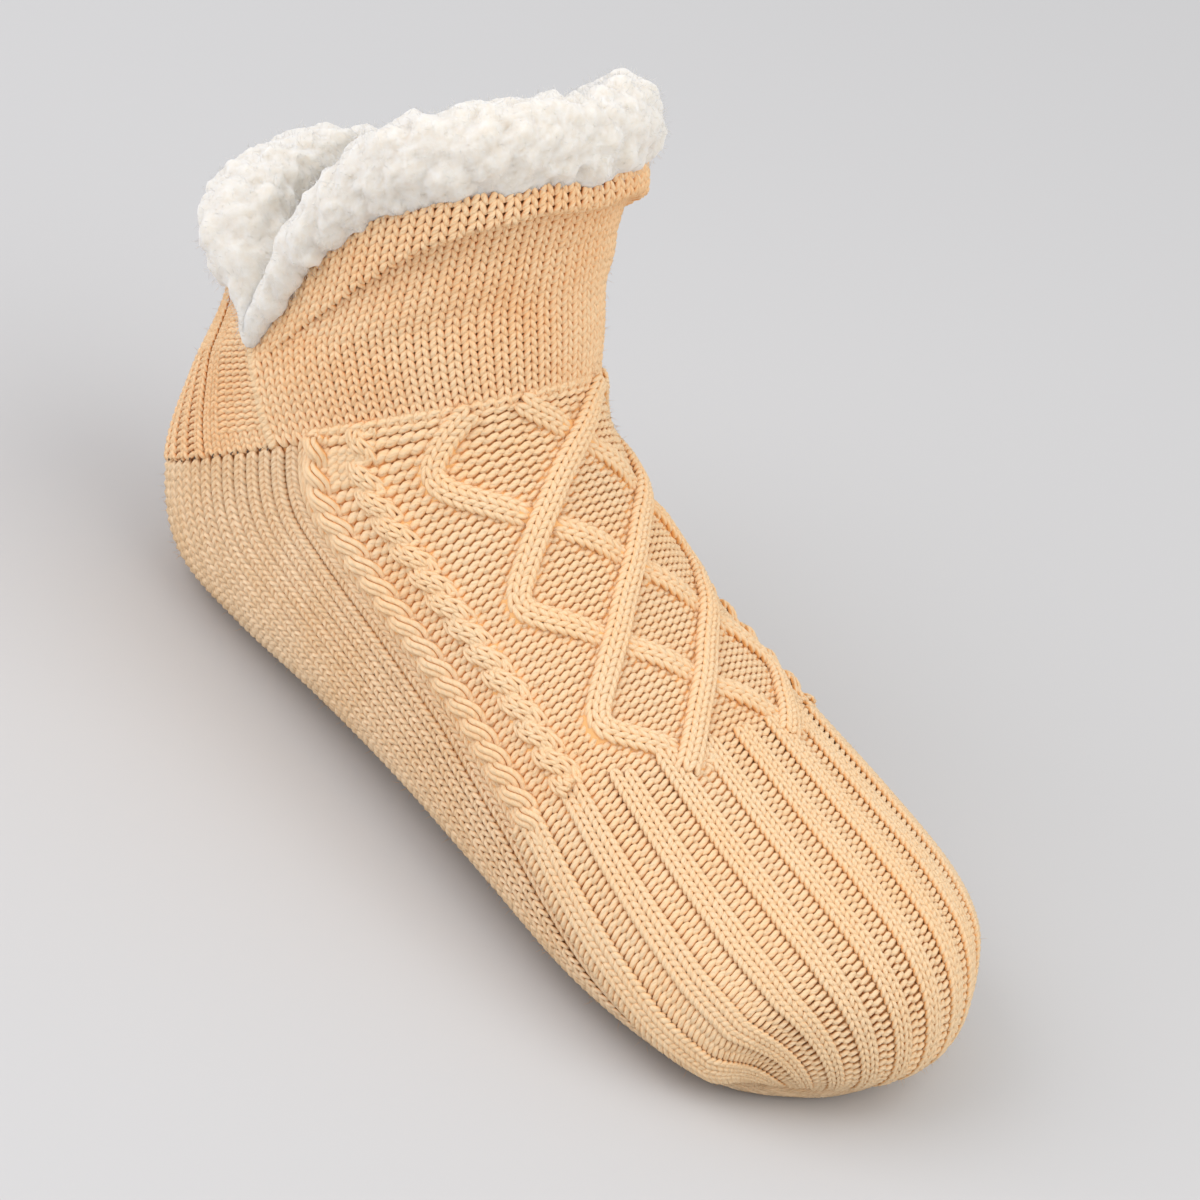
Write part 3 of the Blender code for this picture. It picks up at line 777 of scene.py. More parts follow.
@dataclass
class KnitCuff:
    """Stocking stitch round the ankle, with ribs low on its back and purl beside the side seams."""

    last: LastShape
    material: Material
    front_wales: int = 47
    back_wales: int = 44
    front_height: float = 66.0 * MM
    back_height: float = 85.0 * MM
    margin: float = 0.02  # stations left free under the collar edge
    course: float = 1.95 * MM
    girth: float = 0.225
    purl_girth: float = 0.27
    gutter_girth: float = 0.22
    lift: float = 0.4 * MM
    rib_lift: float = 0.6 * MM
    gutter_sink: float = 0.35 * MM
    rib_wales: int = 15
    rib_top: float = 38.0 * MM
    rib_shoulder: int = 6  # wales from the middle to where the ribs end lower
    rib_fall: float = 0.8 * MM  # for each wale from there
    purl_wales: int = 5
    purl_start: int = 3  # courses
    lip_end: float = 0.36  # turns
    lip_fade: float = 0.12
    lip_share: float = 0.3
    lip_least: float = 0.05
    crease_run: float = 1.3 * MM
    full_crest: float = 2.0 * MM
    trough_depth: float = 0.6
    trough_aside: float = 0.3  # share of the trough that goes on past the lip
    trough: Fold = Fold(0.9 * MM, 2.0 * MM, 3.5 * MM)
    wrinkle: Fold = Fold(0.7 * MM, 11.0 * MM, 6.0 * MM)
    wrinkle_turns: Fold = Fold(1.0, 0.25, 0.30)
    ankle_fold: Fold = Fold(0.6 * MM, 12.0 * MM, 9.0 * MM)

    def strip(self, zone: Zone, wales: int, height: float) -> tuple[Fabric, Array, Array]:
        """Sets out a strip that ends at the collar edge.

        Args:
            zone: Front or back.
            wales: Its wales.
            height: Its greatest height in metres.

        Returns:
            The fabric, and wale and course of each loop.
        """
        fabric = Fabric(self.last, zone, wales, self.course)
        across, along = fabric.middles(0.0, height, self.course)
        station, turn = fabric.address(across, along)
        keep = station < edge_station(turn) - self.margin
        return fabric, across[keep], along[keep]

    def front_rise(self, across: Array, along: Array) -> Array:
        """Height of the cuff's front: the rolled lip, the crease under it and soft wrinkles.

        Args:
            across: Wales.
            along: Courses in metres.

        Returns:
            The height in metres.
        """
        station, turn = Fabric(self.last, Zone.CUFF, self.front_wales, self.course).address(across, along)
        edge, aside = edge_station(turn), np.abs(turn)
        rise = (station - ANKLE) / (edge - ANKLE)
        shown = np.clip((self.lip_end - aside) / self.lip_fade, 0, 1)
        lip = LIP_RISE * np.clip(1 - ((1 - rise) / self.lip_share) ** 2, 0, 1) * shown
        below = (edge - station) * STATION_RUN
        crease = np.interp(aside, LIP_TURNS, LIP_WIDTHS)
        crest = np.interp(aside, LIP_TURNS, LIP_CRESTS)
        bulge = np.sqrt(np.clip(below / crease, self.lip_least, 1))
        bulge *= np.clip((crease - below) / self.crease_run, 0, 1)
        trough = self.trough.rise(below - crease) * np.minimum(crest / self.full_crest, 1)
        wrinkle = self.wrinkle.rise(below - crease) * self.wrinkle_turns.rise(aside)
        low = self.ankle_fold.rise(along)
        sunk = trough * np.clip(shown + self.trough_aside, 0, 1) * self.trough_depth
        return lip + crest * bulge - sunk + wrinkle + low

    def front(self) -> None:
        """Lays the front strip."""
        fabric, across, along = self.strip(Zone.CUFF, self.front_wales, self.front_height)
        lift = np.full(len(across), self.lift)
        strands = fabric.loops(across, along, lift, Stitch.KNIT, self.girth, self.front_rise)
        yarn_piece("cuff_front_stitches", strands, 6, self.material, "cable_knit")

    def back(self) -> None:
        """Lays the back strip: ribs with open gutters low down, plain above, purl at its sides."""
        fabric, across, along = self.strip(Zone.HEEL, self.back_wales, self.back_height)
        from_middle = np.abs(across - self.back_wales / 2)
        rib_end = self.rib_top - self.rib_fall * (from_middle - self.rib_shoulder)
        ribbed = (from_middle < self.rib_wales) & (along < rib_end)
        gutter = ribbed & (np.floor(from_middle).astype(int) % 2 == 1)
        purl = (from_middle > self.back_wales / 2 - self.purl_wales) & (along > self.purl_start * self.course)
        lift = self.lift + self.rib_lift * (from_middle < self.rib_wales)
        groups = [
            fabric.loops(across[part], along[part], lift[part] - sink, kind, girth)
            for part, sink, kind, girth in (
                (~(gutter | purl), 0.0, Stitch.KNIT, self.girth),
                (gutter, self.gutter_sink, Stitch.PURL, self.gutter_girth),
                (purl, 0.0, Stitch.PURL, self.purl_girth),
            )
        ]
        yarn_piece("cuff_back_stitches", Strands.joined(groups), 5, self.material, "cable_knit")

    def build(self) -> None:
        """Lays both strips."""
        self.front()
        self.back()


@dataclass
class KnitInstep:
    """Purl ground of the instep, under the cables."""

    last: LastShape
    material: Material
    course: float = 1.75 * MM
    girth: float = 0.28
    border_girth: float = 0.25
    lift: float = 0.35 * MM
    rope_lift: float = 0.9 * MM
    rope_reach: float = 0.6  # columns
    cord_reach: float = 0.4
    border_sink: float = 0.2 * MM
    spread: float = 1.85  # courses this far apart take one more between them

    def build(self) -> None:
        """Lays the beads, leaving out what the cords hide."""
        wales = 2 * FOOT_COLUMNS
        fabric = Fabric(self.last, Zone.FOOT, wales, self.course)
        across, along = fabric.middles(-self.course, TRELLIS_LENGTH, self.course / 2)
        column = np.abs(across / wales * 2 - 1) * FOOT_COLUMNS
        keep = (along < rib_start(column) + self.course) & (np.abs(column - CORD_COLUMN) > self.cord_reach)
        # Where the bend of the foot spreads the courses, one more lies between each two.
        full = np.floor(along / (self.course / 2)).astype(int) % 2 == 0
        keep &= full | (fabric.course_height(across, along) > self.spread * self.course)
        across, along, column = across[keep], along[keep], column[keep]
        border = column > FOOT_COLUMNS - 1
        roped = self.lift + self.rope_lift * (np.abs(column - ROPE_COLUMN) < self.rope_reach)
        lift = np.where(border, -self.border_sink, roped)
        strands = [
            fabric.loops(across[~border], along[~border], lift[~border], Stitch.PURL, self.girth),
            fabric.loops(across[border], along[border], lift[border], Stitch.KNIT, self.border_girth),
        ]
        yarn_piece("instep_ground_stitches", Strands.joined(strands), 5, self.material, "cable_knit")


@dataclass
class KnitToe:
    """Two-by-two ribs over the toe."""

    last: LastShape
    material: Material
    course: float = 1.75 * MM
    start: float = 75.0 * MM
    seam_gap: float = 1.2 * MM
    overlap: float = 0.5 * MM
    fade: float = 6.0 * MM
    least: float = 0.25  # share of a rib's height at the toe seam
    knit_lift: float = 0.25 * MM
    knit_girth: float = 0.26
    purl_lift: float = 0.65 * MM
    purl_girth: float = 0.29

    def build(self) -> None:
        """Lays knit legs on the ribs and purl beads in the gutters."""
        fabric = Fabric(self.last, Zone.FOOT, 2 * FOOT_COLUMNS, self.course)
        end = self.last.ankle_length(self.last.front)
        across, along = fabric.middles(self.start, end - self.seam_gap, self.course)
        column = across - FOOT_COLUMNS
        keep = along > rib_start(np.abs(column)) - self.overlap
        across, along, column = across[keep], along[keep], column[keep]
        rib = RIB_RISE * (0.5 + 0.5 * np.cos(math.pi / 2 * column))
        height = rib * np.clip((end - along) / self.fade, self.least, 1)
        knit = np.abs((column + 2) % 4 - 2) < 1
        groups = [
            fabric.loops(across[part], along[part], (height + lift)[part], kind, girth)
            for part, lift, kind, girth in (
                (knit, self.knit_lift, Stitch.KNIT, self.knit_girth),
                (~knit, self.purl_lift, Stitch.PURL, self.purl_girth),
            )
        ]
        yarn_piece("toe_rib_stitches", Strands.joined(groups), 5, self.material, "cable_knit")


@dataclass
class CableWork:
    """Trellis strands, twisted ropes and the cord beside the sole crease."""

    last: LastShape
    material: Material
    row: float = TRELLIS_LENGTH / TRELLIS_ROWS
    head: float = -1.0 * MM  # cables start this far over the ankle line
    leg_girth: float = 0.27
    trellis_course: float = 2.2 * MM
    trellis_wale: float = 2.7 * MM
    trellis_lift: float = CABLE_RISE + 0.15 * MM
    trellis_crown: float = 0.9 * MM
    trellis_phases: tuple[float, float] = (-0.70, 5.25)
    trellis_row: int = 4  # row of phase 0
    trellis_side: float = 1.6  # phases from the middle line to the outer crossings
    over_rise: float = 0.55 * MM
    under_dip: float = -1.1 * MM
    crossing_reach: float = 0.42  # phases
    crossing_hide: float = 0.10
    bend_points: int = 81
    rows_per_phase: int = 6
    columns_per_phase: float = 6.0
    rope_wale: float = 2.2 * MM
    rope_course: float = 2.9 * MM
    rope_end: float = 31.5 * TRELLIS_LENGTH / TRELLIS_ROWS
    rope_period: float = 14.6 * MM
    rope_sway: float = 0.58
    rope_lift: float = 2.1 * MM
    rope_swing: float = 1.2 * MM
    rope_crown: float = 1.0 * MM
    rope_hide: float = -0.7  # a strand this low in its swing lies under the other
    heart_least: float = 0.3
    heart_lift: float = 1.1 * MM
    heart_girth: float = 1.9 * MM
    heart_taper: float = 8.0 * MM
    cord_wale: float = 1.3 * MM
    cord_girth: float = 0.62
    cord_tail: float = 9.0 * MM
    cord_row: int = 31
    cord_period: float = 12.0 * MM
    cord_sway: float = 0.50
    cord_base: float = 0.9 * MM
    cord_lift: float = 1.2 * MM
    cord_swing: float = 1.1 * MM
    cord_crown: float = 0.55 * MM

    def point(self, column: Array, along: Array) -> tuple[Array, Array]:
        """Points and normals at columns from the middle line and metres below the ankle line."""
        fabric = Fabric(self.last, Zone.FOOT, 2 * FOOT_COLUMNS, self.trellis_course)
        return fabric.read(column + FOOT_COLUMNS, along)

    def wound(self, column: int, along: Array, period: float, side: int, strand: int) -> Array:
        """Angle of a strand of a two-strand cable, by the fabric run down its column.

        Args:
            column: Grid column from the middle line.
            along: Metres below the ankle line on the middle line, finely spaced.
            period: Run of a full turn in metres.
            side: -1 or 1, which way the cable is wound.
            strand: 0 or 1.

        Returns:
            The angle at each place.
        """
        run = travelled(self.point(np.full(len(along), float(column)), along)[0])
        return 2 * math.pi * run / period * side + math.pi * strand

    def chain(
        self, column: Array, along: Array, lift: Array, hide: Array, wale: float, course: float, crown: float
    ) -> Strands:
        """Knits a band two wales wide along a path.

        Args:
            column: Path columns, finely spaced.
            along: Path metres below the ankle line.
            lift: Height along the path.
            hide: True where another band lies over this one.
            wale: Width of a wale in metres.
            course: Height of a course in metres.
            crown: How far the band's edges fall below its middle.

        Returns:
            The legs of its loops.
        """
        path, normal = self.point(column, along)
        run = travelled(path)
        spots = np.arange(course / 2, run[-1], course)
        spots = spots[np.interp(spots, run, hide.astype(float)) < 0.5]
        place = spots[:, None] - KNIT_LEG[:, 1] * course
        up = unit(read_line(place, run, normal))
        ahead = unit(read_line(place, run, unit(np.gradient(path, axis=0))))
        middle, side = read_line(place, run, path), unit(np.cross(ahead, up))
        radius = wale * self.leg_girth
        legs = []
        for offset in (-0.5, 0.5):
            for mirror in (-1, 1):
                across = offset + mirror * KNIT_LEG[:, 0]
                height = np.interp(place, run, lift) - crown * across**2 + KNIT_LEG[:, 2] * radius
                centre = middle + side * (across * wale)[None, :, None] + up * height[..., None]
                legs.append(Strands(centre, up, np.broadcast_to(radius * LOOP_GIRTH, place.shape)))
        return Strands.joined(legs)

    def trellis(self) -> Strands:
        """The four zigzag bands of the trellis.

        Returns:
            Their loops.
        """
        phase = np.linspace(*self.trellis_phases, 520)
        along = (self.trellis_row + phase * self.rows_per_phase) * self.row
        crossing = np.abs(phase - np.round(phase))
        made = []
        for start, sense in ((0, 1), (0, -1), (2, -1), (-2, 1)):
            zigzag = 2 - np.abs((start + sense * phase + 2) % 8 - 4)
            smooth = smoothed(zigzag, np.hanning(self.bend_points), "reflect", reflect_type="odd")
            inner = np.abs(smooth) < self.trellis_side
            over = np.gradient(smooth, phase) < 0
            dip = np.where(over, self.over_rise, self.under_dip) * hill(crossing, self.crossing_reach) * inner
            hide = inner & ~over & (crossing < self.crossing_hide)
            column, lift = smooth * self.columns_per_phase, self.trellis_lift + dip
            sizes = self.trellis_wale, self.trellis_course, self.trellis_crown
            made.append(self.chain(column, along, lift, hide, *sizes))
        return Strands.joined(made)

    def ropes(self) -> Strands:
        """Two-strand ropes either side of the trellis.

        Returns:
            Their loops.
        """
        made = []
        along = np.linspace(self.head, self.rope_end, 600)
        sizes = self.rope_wale, self.rope_course, self.rope_crown
        for side in (-1, 1):
            for strand in (0, 1):
                turn = self.wound(ROPE_COLUMN, along, self.rope_period, side, strand)
                column = side * ROPE_COLUMN + self.rope_sway * np.cos(turn)
                lift = self.rope_lift + self.rope_swing * np.sin(turn)
                made.append(self.chain(column, along, lift, np.sin(turn) < self.rope_hide, *sizes))
            made.append(self.heart(side * ROPE_COLUMN))
        return Strands.joined(made)

    def heart(self, column: int) -> Strands:
        """The plump middle of a rope, which its strands lie round.

        Args:
            column: Grid column from the middle line.

        Returns:
            Short lengths that overlap each other.
        """
        along = np.linspace(self.head, self.rope_end, 121)
        path, normal = self.point(np.full(len(along), float(column)), along)
        taper = np.clip((self.rope_end - along) / self.heart_taper, self.heart_least, 1)
        points = len(LOOP_GIRTH)
        beads = np.arange(0, len(along) - points + 1, points // 2)[:, None] + np.arange(points)
        path = path + normal * (self.heart_lift * taper)[:, None]
        return Strands(path[beads], normal[beads], (self.heart_girth * taper)[beads])

    def cords(self) -> Strands:
        """Narrower two-strand cables along both creases, three yarns side by side to a strand.

        Returns:
            Their yarns.
        """
        made = []
        end = self.cord_row * self.row + self.cord_tail
        along = np.linspace(self.head, end, 190)
        taper = np.clip((end - along) / self.cord_tail, 0, 1)
        places = np.array((-1.0, 0.0, 1.0))[:, None]
        for side in (-1, 1):
            for strand in (0, 1):
                turn = self.wound(CORD_COLUMN, along, self.cord_period, side, strand)
                path, normal = self.point(side * CORD_COLUMN + self.cord_sway * np.cos(turn) * taper, along)
                lift = self.cord_base + (self.cord_lift + self.cord_swing * np.sin(turn)) * taper
                aside = unit(np.cross(unit(np.gradient(path, axis=0)), normal))
                height = lift - self.cord_crown * places**2
                centre = path + aside * (places * self.cord_wale)[..., None] + normal * height[..., None]
                radius = np.full(height.shape, self.cord_girth * self.cord_wale)
                made.append(Strands(centre, np.broadcast_to(normal, centre.shape), radius))
        return Strands.joined(made)

    def build(self) -> None:
        """Makes the three kinds of cable."""
        yarn_piece("trellis_cables", self.trellis(), 6, self.material, "cable_knit")
        yarn_piece("rope_cables", self.ropes(), 6, self.material, "cable_knit")
        yarn_piece("crease_cords", self.cords(), 5, self.material, "cable_knit")


@dataclass
class SoleKnit:
    """Plain fine knit of the sole panel."""

    last: LastShape
    material: Material
    wales: int = 40
    course: float = 2.25 * MM
    girth: float = 0.22
    start: float = 1.0 * MM
    seam_gap: float = 0.6 * MM
    sink: float = 0.35 * MM  # under the foot
    rise: float = 0.7 * MM  # up the sides
    side_height: float = 12.0 * MM
    toe_run: float = 12.0 * MM
    toe_share: float = 0.9
    gutter: float = 0.5 * MM  # along the creases

    def build(self) -> None:
        """Lays the loops in two pieces, heel and forefoot."""
        fabric = Fabric(self.last, Zone.SOLE, self.wales, self.course)
        end = self.last.ankle_length(self.last.back) - self.seam_gap
        across, along = fabric.middles(self.start, end, self.course)
        side = np.clip(fabric.read(across, along)[0][:, 2] / self.side_height, 0, 1)
        edge = np.minimum(across, self.wales - across) < 1
        toe = np.clip((along - end) / self.toe_run + 1, 0, 1)
        lift = -self.sink + self.rise * np.maximum(side, self.toe_share * toe) - self.gutter * edge * (1 - toe)
        near = along < end / 2
        for name, part in (("sole_heel_stitches", near), ("sole_forefoot_stitches", ~near)):
            strands = fabric.loops(across[part], along[part], lift[part], Stitch.FINE_KNIT, self.girth)
            points, faces, uv = strands.surface(4)
            points[:, 2] = np.maximum(points[:, 2], FLOOR_LEVEL)
            mesh_piece(name, points, faces, uv, self.material, "plain_knit")


@dataclass
class Seams:
    """Grey thread of the heel seam, and the knitted ridge of the side seams."""

    last: LastShape
    thread: Material
    yarn: Material
    stitches: int = 46
    seed: int = 5
    thread_girth: float = 0.15 * MM
    thread_halves: tuple[float, float] = (0.015, 0.045)  # stations
    thread_slants: tuple[float, float] = (0.002, 0.008)  # turns
    thread_lift: float = 1.2 * MM
    thread_dip: float = 0.8 * MM
    ridge_points: int = 90
    ridge_turns: int = 9
    ridge_sway: float = 0.006
    ridge_lift: float = 0.8 * MM
    ridge_swing: float = 0.4 * MM
    ridge_girth: float = 0.8 * MM

    def heel(self) -> None:
        """Lays short uneven stitches over the heel seam."""
        draw = np.random.default_rng(self.seed)
        edge = float(seam_turn(np.array(ANKLE)))
        share = (np.arange(self.stitches) + draw.uniform(0.2, 0.8, self.stitches)) / self.stitches
        turn = edge + (2 - 2 * edge) * share
        along = np.linspace(-1, 1, 6)
        half = draw.uniform(*self.thread_halves, (self.stitches, 1))
        slant = draw.uniform(*self.thread_slants, (self.stitches, 1))
        station = ANKLE + half * along
        point, normal = self.last.read(station, turn[:, None] + slant * along)
        height = self.thread_lift - self.thread_dip * along**2
        strands = Strands(point + normal * height[:, None], normal, np.full(station.shape, self.thread_girth))
        yarn_piece("heel_seam_thread", strands, 6, self.thread, "plain_knit")

    def sides(self) -> None:
        """Lays a two-ply ridge up each side seam."""
        made = []
        station = np.linspace(ANKLE, SLIT_STATION, self.ridge_points)
        radius = np.full((1, self.ridge_points), self.ridge_girth)
        for side in (-1, 1):
            for ply in (0, 1):
                wind = np.linspace(0, self.ridge_turns * 2 * math.pi, self.ridge_points) + math.pi * ply
                turn = side * (seam_turn(station) + self.ridge_sway * np.cos(wind))
                point, normal = self.last.read(station, turn)
                height = self.ridge_lift + self.ridge_swing * np.sin(wind)
                made.append(Strands((point + normal * height[:, None])[None], normal[None], radius))
        yarn_piece("side_seam_ridges", Strands.joined(made), 8, self.yarn, "cable_knit")

    def build(self) -> None:
        """Makes both kinds of seam."""
        self.heel()
        self.sides()


def loose_fibres(
    draw: np.random.Generator, base: Array, out: Array, lengths: tuple[float, float], girth: float
) -> Strands:
    """Short bent fibres that stand out of a face.

    Args:
        draw: Where the fibres' lean and length are drawn from.
        base: Their roots.
        out: Outward normals at the roots.
        lengths: Shortest and longest fibre in metres.
        girth: Radius of a fibre in metres.

    Returns:
        One strand of three points for each root.
    """
    count = len(base)
    lean = unit(out + FIBRE_LEAN * draw.normal(size=(count, 3)))
    bend = unit(draw.normal(size=(count, 3)))
    share = np.linspace(0, 1, 3)
    length = draw.uniform(*lengths, count)[:, None]
    reach, sag = (length * share)[..., None], (FIBRE_SAG * length * share**2)[..., None]
    centre = base[:, None] + lean[:, None] * reach + bend[:, None] * sag
    up = np.repeat(unit(np.cross(lean, bend))[:, None], 3, 1)
    return Strands(centre, up, np.full((count, 3), girth))


@dataclass
class YarnFuzz:
    """Loose fibres that stand out of the knit of the upper."""

    last: LastShape
    material: Material
    fibres: int = 8500
    seed: int = 21
    toe_gap: float = 0.5  # stations
    gaps: float = 0.6  # stations left free at both ends together
    lowest: float = 6.0 * MM
    root: float = 0.9 * MM
    lengths: tuple[float, float] = (1.2 * MM, 2.6 * MM)
    girth: float = 0.035 * MM

    def build(self) -> None:
        """Draws the fibres' roots over the upper and the sides of the sole."""
        draw = np.random.default_rng(self.seed)
        turn = draw.uniform(-1, 1, self.fibres)
        station = self.toe_gap + (edge_station(turn) - self.gaps) * draw.uniform(0, 1, self.fibres)
        point, normal = self.last.read(station, turn)
        side = point[:, 2] > self.lowest
        root = point[side] + normal[side] * self.root
        hairs = loose_fibres(draw, root, normal[side], self.lengths, self.girth)
        yarn_piece("yarn_fuzz", hairs, 3, self.material, "cable_knit")


def point_tree(points: Array) -> KDTree:
    """Sorts points for finding near ones.

    Args:
        points: The points.

    Returns:
        A balanced tree.
    """
    tree = KDTree(len(points))
    for place, point in enumerate(points):
        tree.insert(point, place)
    tree.balance()
    return tree


@dataclass
class FleeceTrim:
    """The puffy collar roll, its loose fibres and the fleece face inside."""

    last: LastShape
    material: Material
    inside: Material
    around: int = 440
    steps: int = 7
    slit_size: float = 0.52  # size of the roll at the foot of a slit
    slit_depth: float = 0.6  # its depth inside, where its size is none
    shaft_run: float = 0.35  # stations under the edge that give the way up
    slit_turn: float = 0.62
    slit_fade: float = 0.03
    slit_lean: float = 0.9
    flap: float = 0.5
    flap_turn: float = 0.52
    flap_reach: float = 0.14
    fold_turn: float = 0.64
    fold_fade: float = 0.10
    fold_bulge: float = 0.9
    fold_drop: float = 0.30
    fold_top: float = 0.75
    skirt_start: float = -0.42  # corners inside and under this hang along the knit
    puff_size: float = 7.5 * MM
    puff_rise: float = 1.1 * MM
    puff_seed: int = 3
    curl_sizes: tuple[float, float] = (6.0 * MM, 1.9 * MM)
    curl_rises: tuple[float, float] = (1.0 * MM, 0.35 * MM)
    sink: float = 0.5 * MM
    thin_size: float = 0.40  # where the roll is small its pile is low
    thin_run: float = 0.5
    thin_least: float = 0.3
    fibres: int = 12000
    fibre_seed: int = 11
    fibre_lengths: tuple[float, float] = (0.9 * MM, 2.4 * MM)
    fibre_girth: float = 0.06 * MM
    lining_grid: tuple[int, int] = (84, 120)
    lining_gap: float = 1.6 * MM
    lining_toe: float = 1.3  # station
    lining_top: float = 1.1  # stations under the edge
    lining_curl: float = 7.0 * MM
    pile: float = 1.1 * MM
    pile_curl: float = 1.3 * MM
    pile_range: tuple[float, float] = (0.3 * MM, 2.4 * MM)

    def line(self) -> tuple[Array, Array, Array]:
        """The collar edge in even steps.

        Returns:
            Turn, section number and size of the roll at each step.
        """
        fine = np.linspace(-1, 1, 4001)[:-1]
        smooth = smoothed(edge_station(fine), np.exp(-0.5 * (np.arange(-60, 61) / 20) ** 2), "wrap")
        run = travelled(self.last.read(smooth, fine)[0])
        turn = np.interp(np.linspace(0, run[-1], self.around + 1)[:-1], run, fine)
        top = np.interp(turn, fine, smooth)
        share = np.clip((top - SLIT_STATION) / (COLLAR - SLIT_STATION), 0, 1)
        return turn, top, self.slit_size + (1 - self.slit_size) * share

    def corners(self) -> Array:
        """Corners of the roll's section all along the collar.

        Returns:
            An array of collar steps, corners and x, y, z.
        """
        turn, top, size = self.line()
        aside = np.abs(turn)
        edge, normal = self.last.read(top, turn)
        below = self.last.read(top - self.shaft_run, turn)[0]
        length = np.linalg.norm(edge - below, axis=1)
        shaft = (edge - below) / length[:, None]
        # Along the front of a slit the pile leans into it, square to the edge.
        square = unit(np.cross(normal, np.roll(edge, -1, 0) - np.roll(edge, 1, 0)))
        square *= np.sign((square * shaft).sum(axis=1))[:, None]
        front = np.clip((self.slit_turn - aside) / self.slit_fade, 0, 1)
        shaft = unit(shaft + self.slit_lean * front[:, None] * square)
        flap = self.flap * hill(aside - self.flap_turn, self.flap_reach)
        # Behind the slits the roll folds out and down over the knit.
        fold = np.clip((aside - self.fold_turn) / self.fold_fade, 0, 1)
        rows = []
        for up, inward in ROLL_CORNERS:
            depth = inward * ROLL_DEPTH * (self.slit_depth + (1 - self.slit_depth) * size)
            if inward > 0 and up < self.skirt_start:
                place, out = self.last.read(top + up * SKIRT_DROP * self.shaft_run / length, turn)
                rows.append(place - out * depth[:, None])
                continue
            if inward < 0:
                depth = inward * ROLL_BULGE * size * (1 + self.fold_bulge * fold + flap)
                up = up - self.fold_drop * fold * np.clip(self.fold_top - up, 0, 1)
            rows.append(edge + shaft * (up * ROLL_HEIGHT * size)[:, None] - normal * depth[:, None])
        return np.stack(rows, axis=1)

    def skin(self) -> tuple[Array, Array]:
        """The smooth roll.

        Returns:
            Grids of points and outward normals, closed both ways.
        """
        corner = self.corners()
        slope = (np.roll(corner, -1, 1) - np.roll(corner, 1, 1)) / 2
        curve = corner, slope, np.roll(corner, -1, 1), np.roll(slope, -1, 1)
        rows = [blend(*curve, step / self.steps) for step in range(self.steps)]
        grid = np.stack(rows, axis=2).reshape(self.around, -1, 3)
        along, across = (np.roll(grid, -1, axis) - np.roll(grid, 1, axis) for axis in (0, 1))
        normal = unit(np.cross(along, across))
        return grid, normal * np.sign((normal * (grid - grid.mean(axis=1, keepdims=True))).sum())

    @staticmethod
    def curls(points: Array, size: float) -> Array:
        """Cloudy lumps, about -1 to 1, the largest of them of this size."""
        return np.array([noise.fractal(Vector(point / size), 0.7, 2.1, 3) for point in points])

    def puffs(self, points: Array) -> Array:
        """Soft cells of uneven size with creases between them.

        Args:
            points: Where to read.

        Returns:
            From 0 in a crease to 1 on a cell.
        """
        draw = np.random.default_rng(self.puff_seed)
        order = draw.permutation(len(points))
        spread = self.puff_size * draw.uniform(0.6, 1.35, len(points))
        tree = point_tree(points)
        kept: list[Array] = []
        taken = np.zeros(len(points), bool)
        for place in order:
            if taken[place]:
                continue
            kept.append(points[place])
            for _, near, _ in tree.find_range(points[place], spread[place]):
                taken[near] = True
        cells = point_tree(kept)
        pairs = (cells.find_n(point, 2) for point in points)
        gap = np.array([second[2] - first[2] for first, second in pairs])
        share = np.clip(gap / self.puff_size, 0, 1)
        return share * share * (3 - 2 * share)

    def roll(self) -> None:
        """Makes the puffy roll and its loose fibres."""
        grid, normal = self.skin()
        flat, out = grid.reshape(-1, 3), normal.reshape(-1, 3)
        rise = self.puff_rise * self.puffs(flat) - self.sink
        for size, height in zip(self.curl_sizes, self.curl_rises):
            rise += height * self.curls(flat, size)
        rows, columns = grid.shape[:2]
        thin = np.clip((self.line()[2] - self.thin_size) / self.thin_run, self.thin_least, 1)
        flat = flat + out * (rise * np.repeat(thin, columns))[:, None]
        faces = closed_faces(rows, columns)
        piece = mesh_piece("fleece_roll", flat, faces, None, self.material, "collar_fleece")
        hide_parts("fleece_collar")
        draw = np.random.default_rng(self.fibre_seed)
        pick = draw.choice(len(flat), self.fibres, replace=False)
        hairs = loose_fibres(draw, flat[pick], out[pick], self.fibre_lengths, self.fibre_girth)
        yarn_piece("fleece_fibres", hairs, 3, self.material, "collar_fleece")

    def lining(self) -> None:
        """Lines the inside with a thin closed shell of fleece."""
        depth = WALL + self.lining_gap
        rows, columns = self.lining_grid
        turns = np.linspace(-1, 1, columns + 1)[:-1]
        share, turn = np.meshgrid(np.linspace(0, 1, rows), turns, indexing="ij")
        station = self.lining_toe + (edge_station(turn) - self.lining_top - self.lining_toe) * share
        point, normal = self.last.read(station, turn)
        curl = self.curls(point.reshape(-1, 3), self.lining_curl).reshape(share.shape)
        pile = np.clip(self.pile + self.pile_curl * curl, *self.pile_range)
        layers = np.concatenate((point - normal * depth, (point - normal * (depth + pile)[..., None])[::-1]))
        # This grid winds the other way from the roll's, so its faces are turned round.
        faces = closed_faces(2 * rows, columns)[:, (0, 3, 2, 1)]
        mesh_piece("fleece_lining", layers.reshape(-1, 3), faces, None, self.inside, "collar_fleece")

    def build(self) -> None:
        """Makes the roll and the lining."""
        self.roll()
        self.lining()


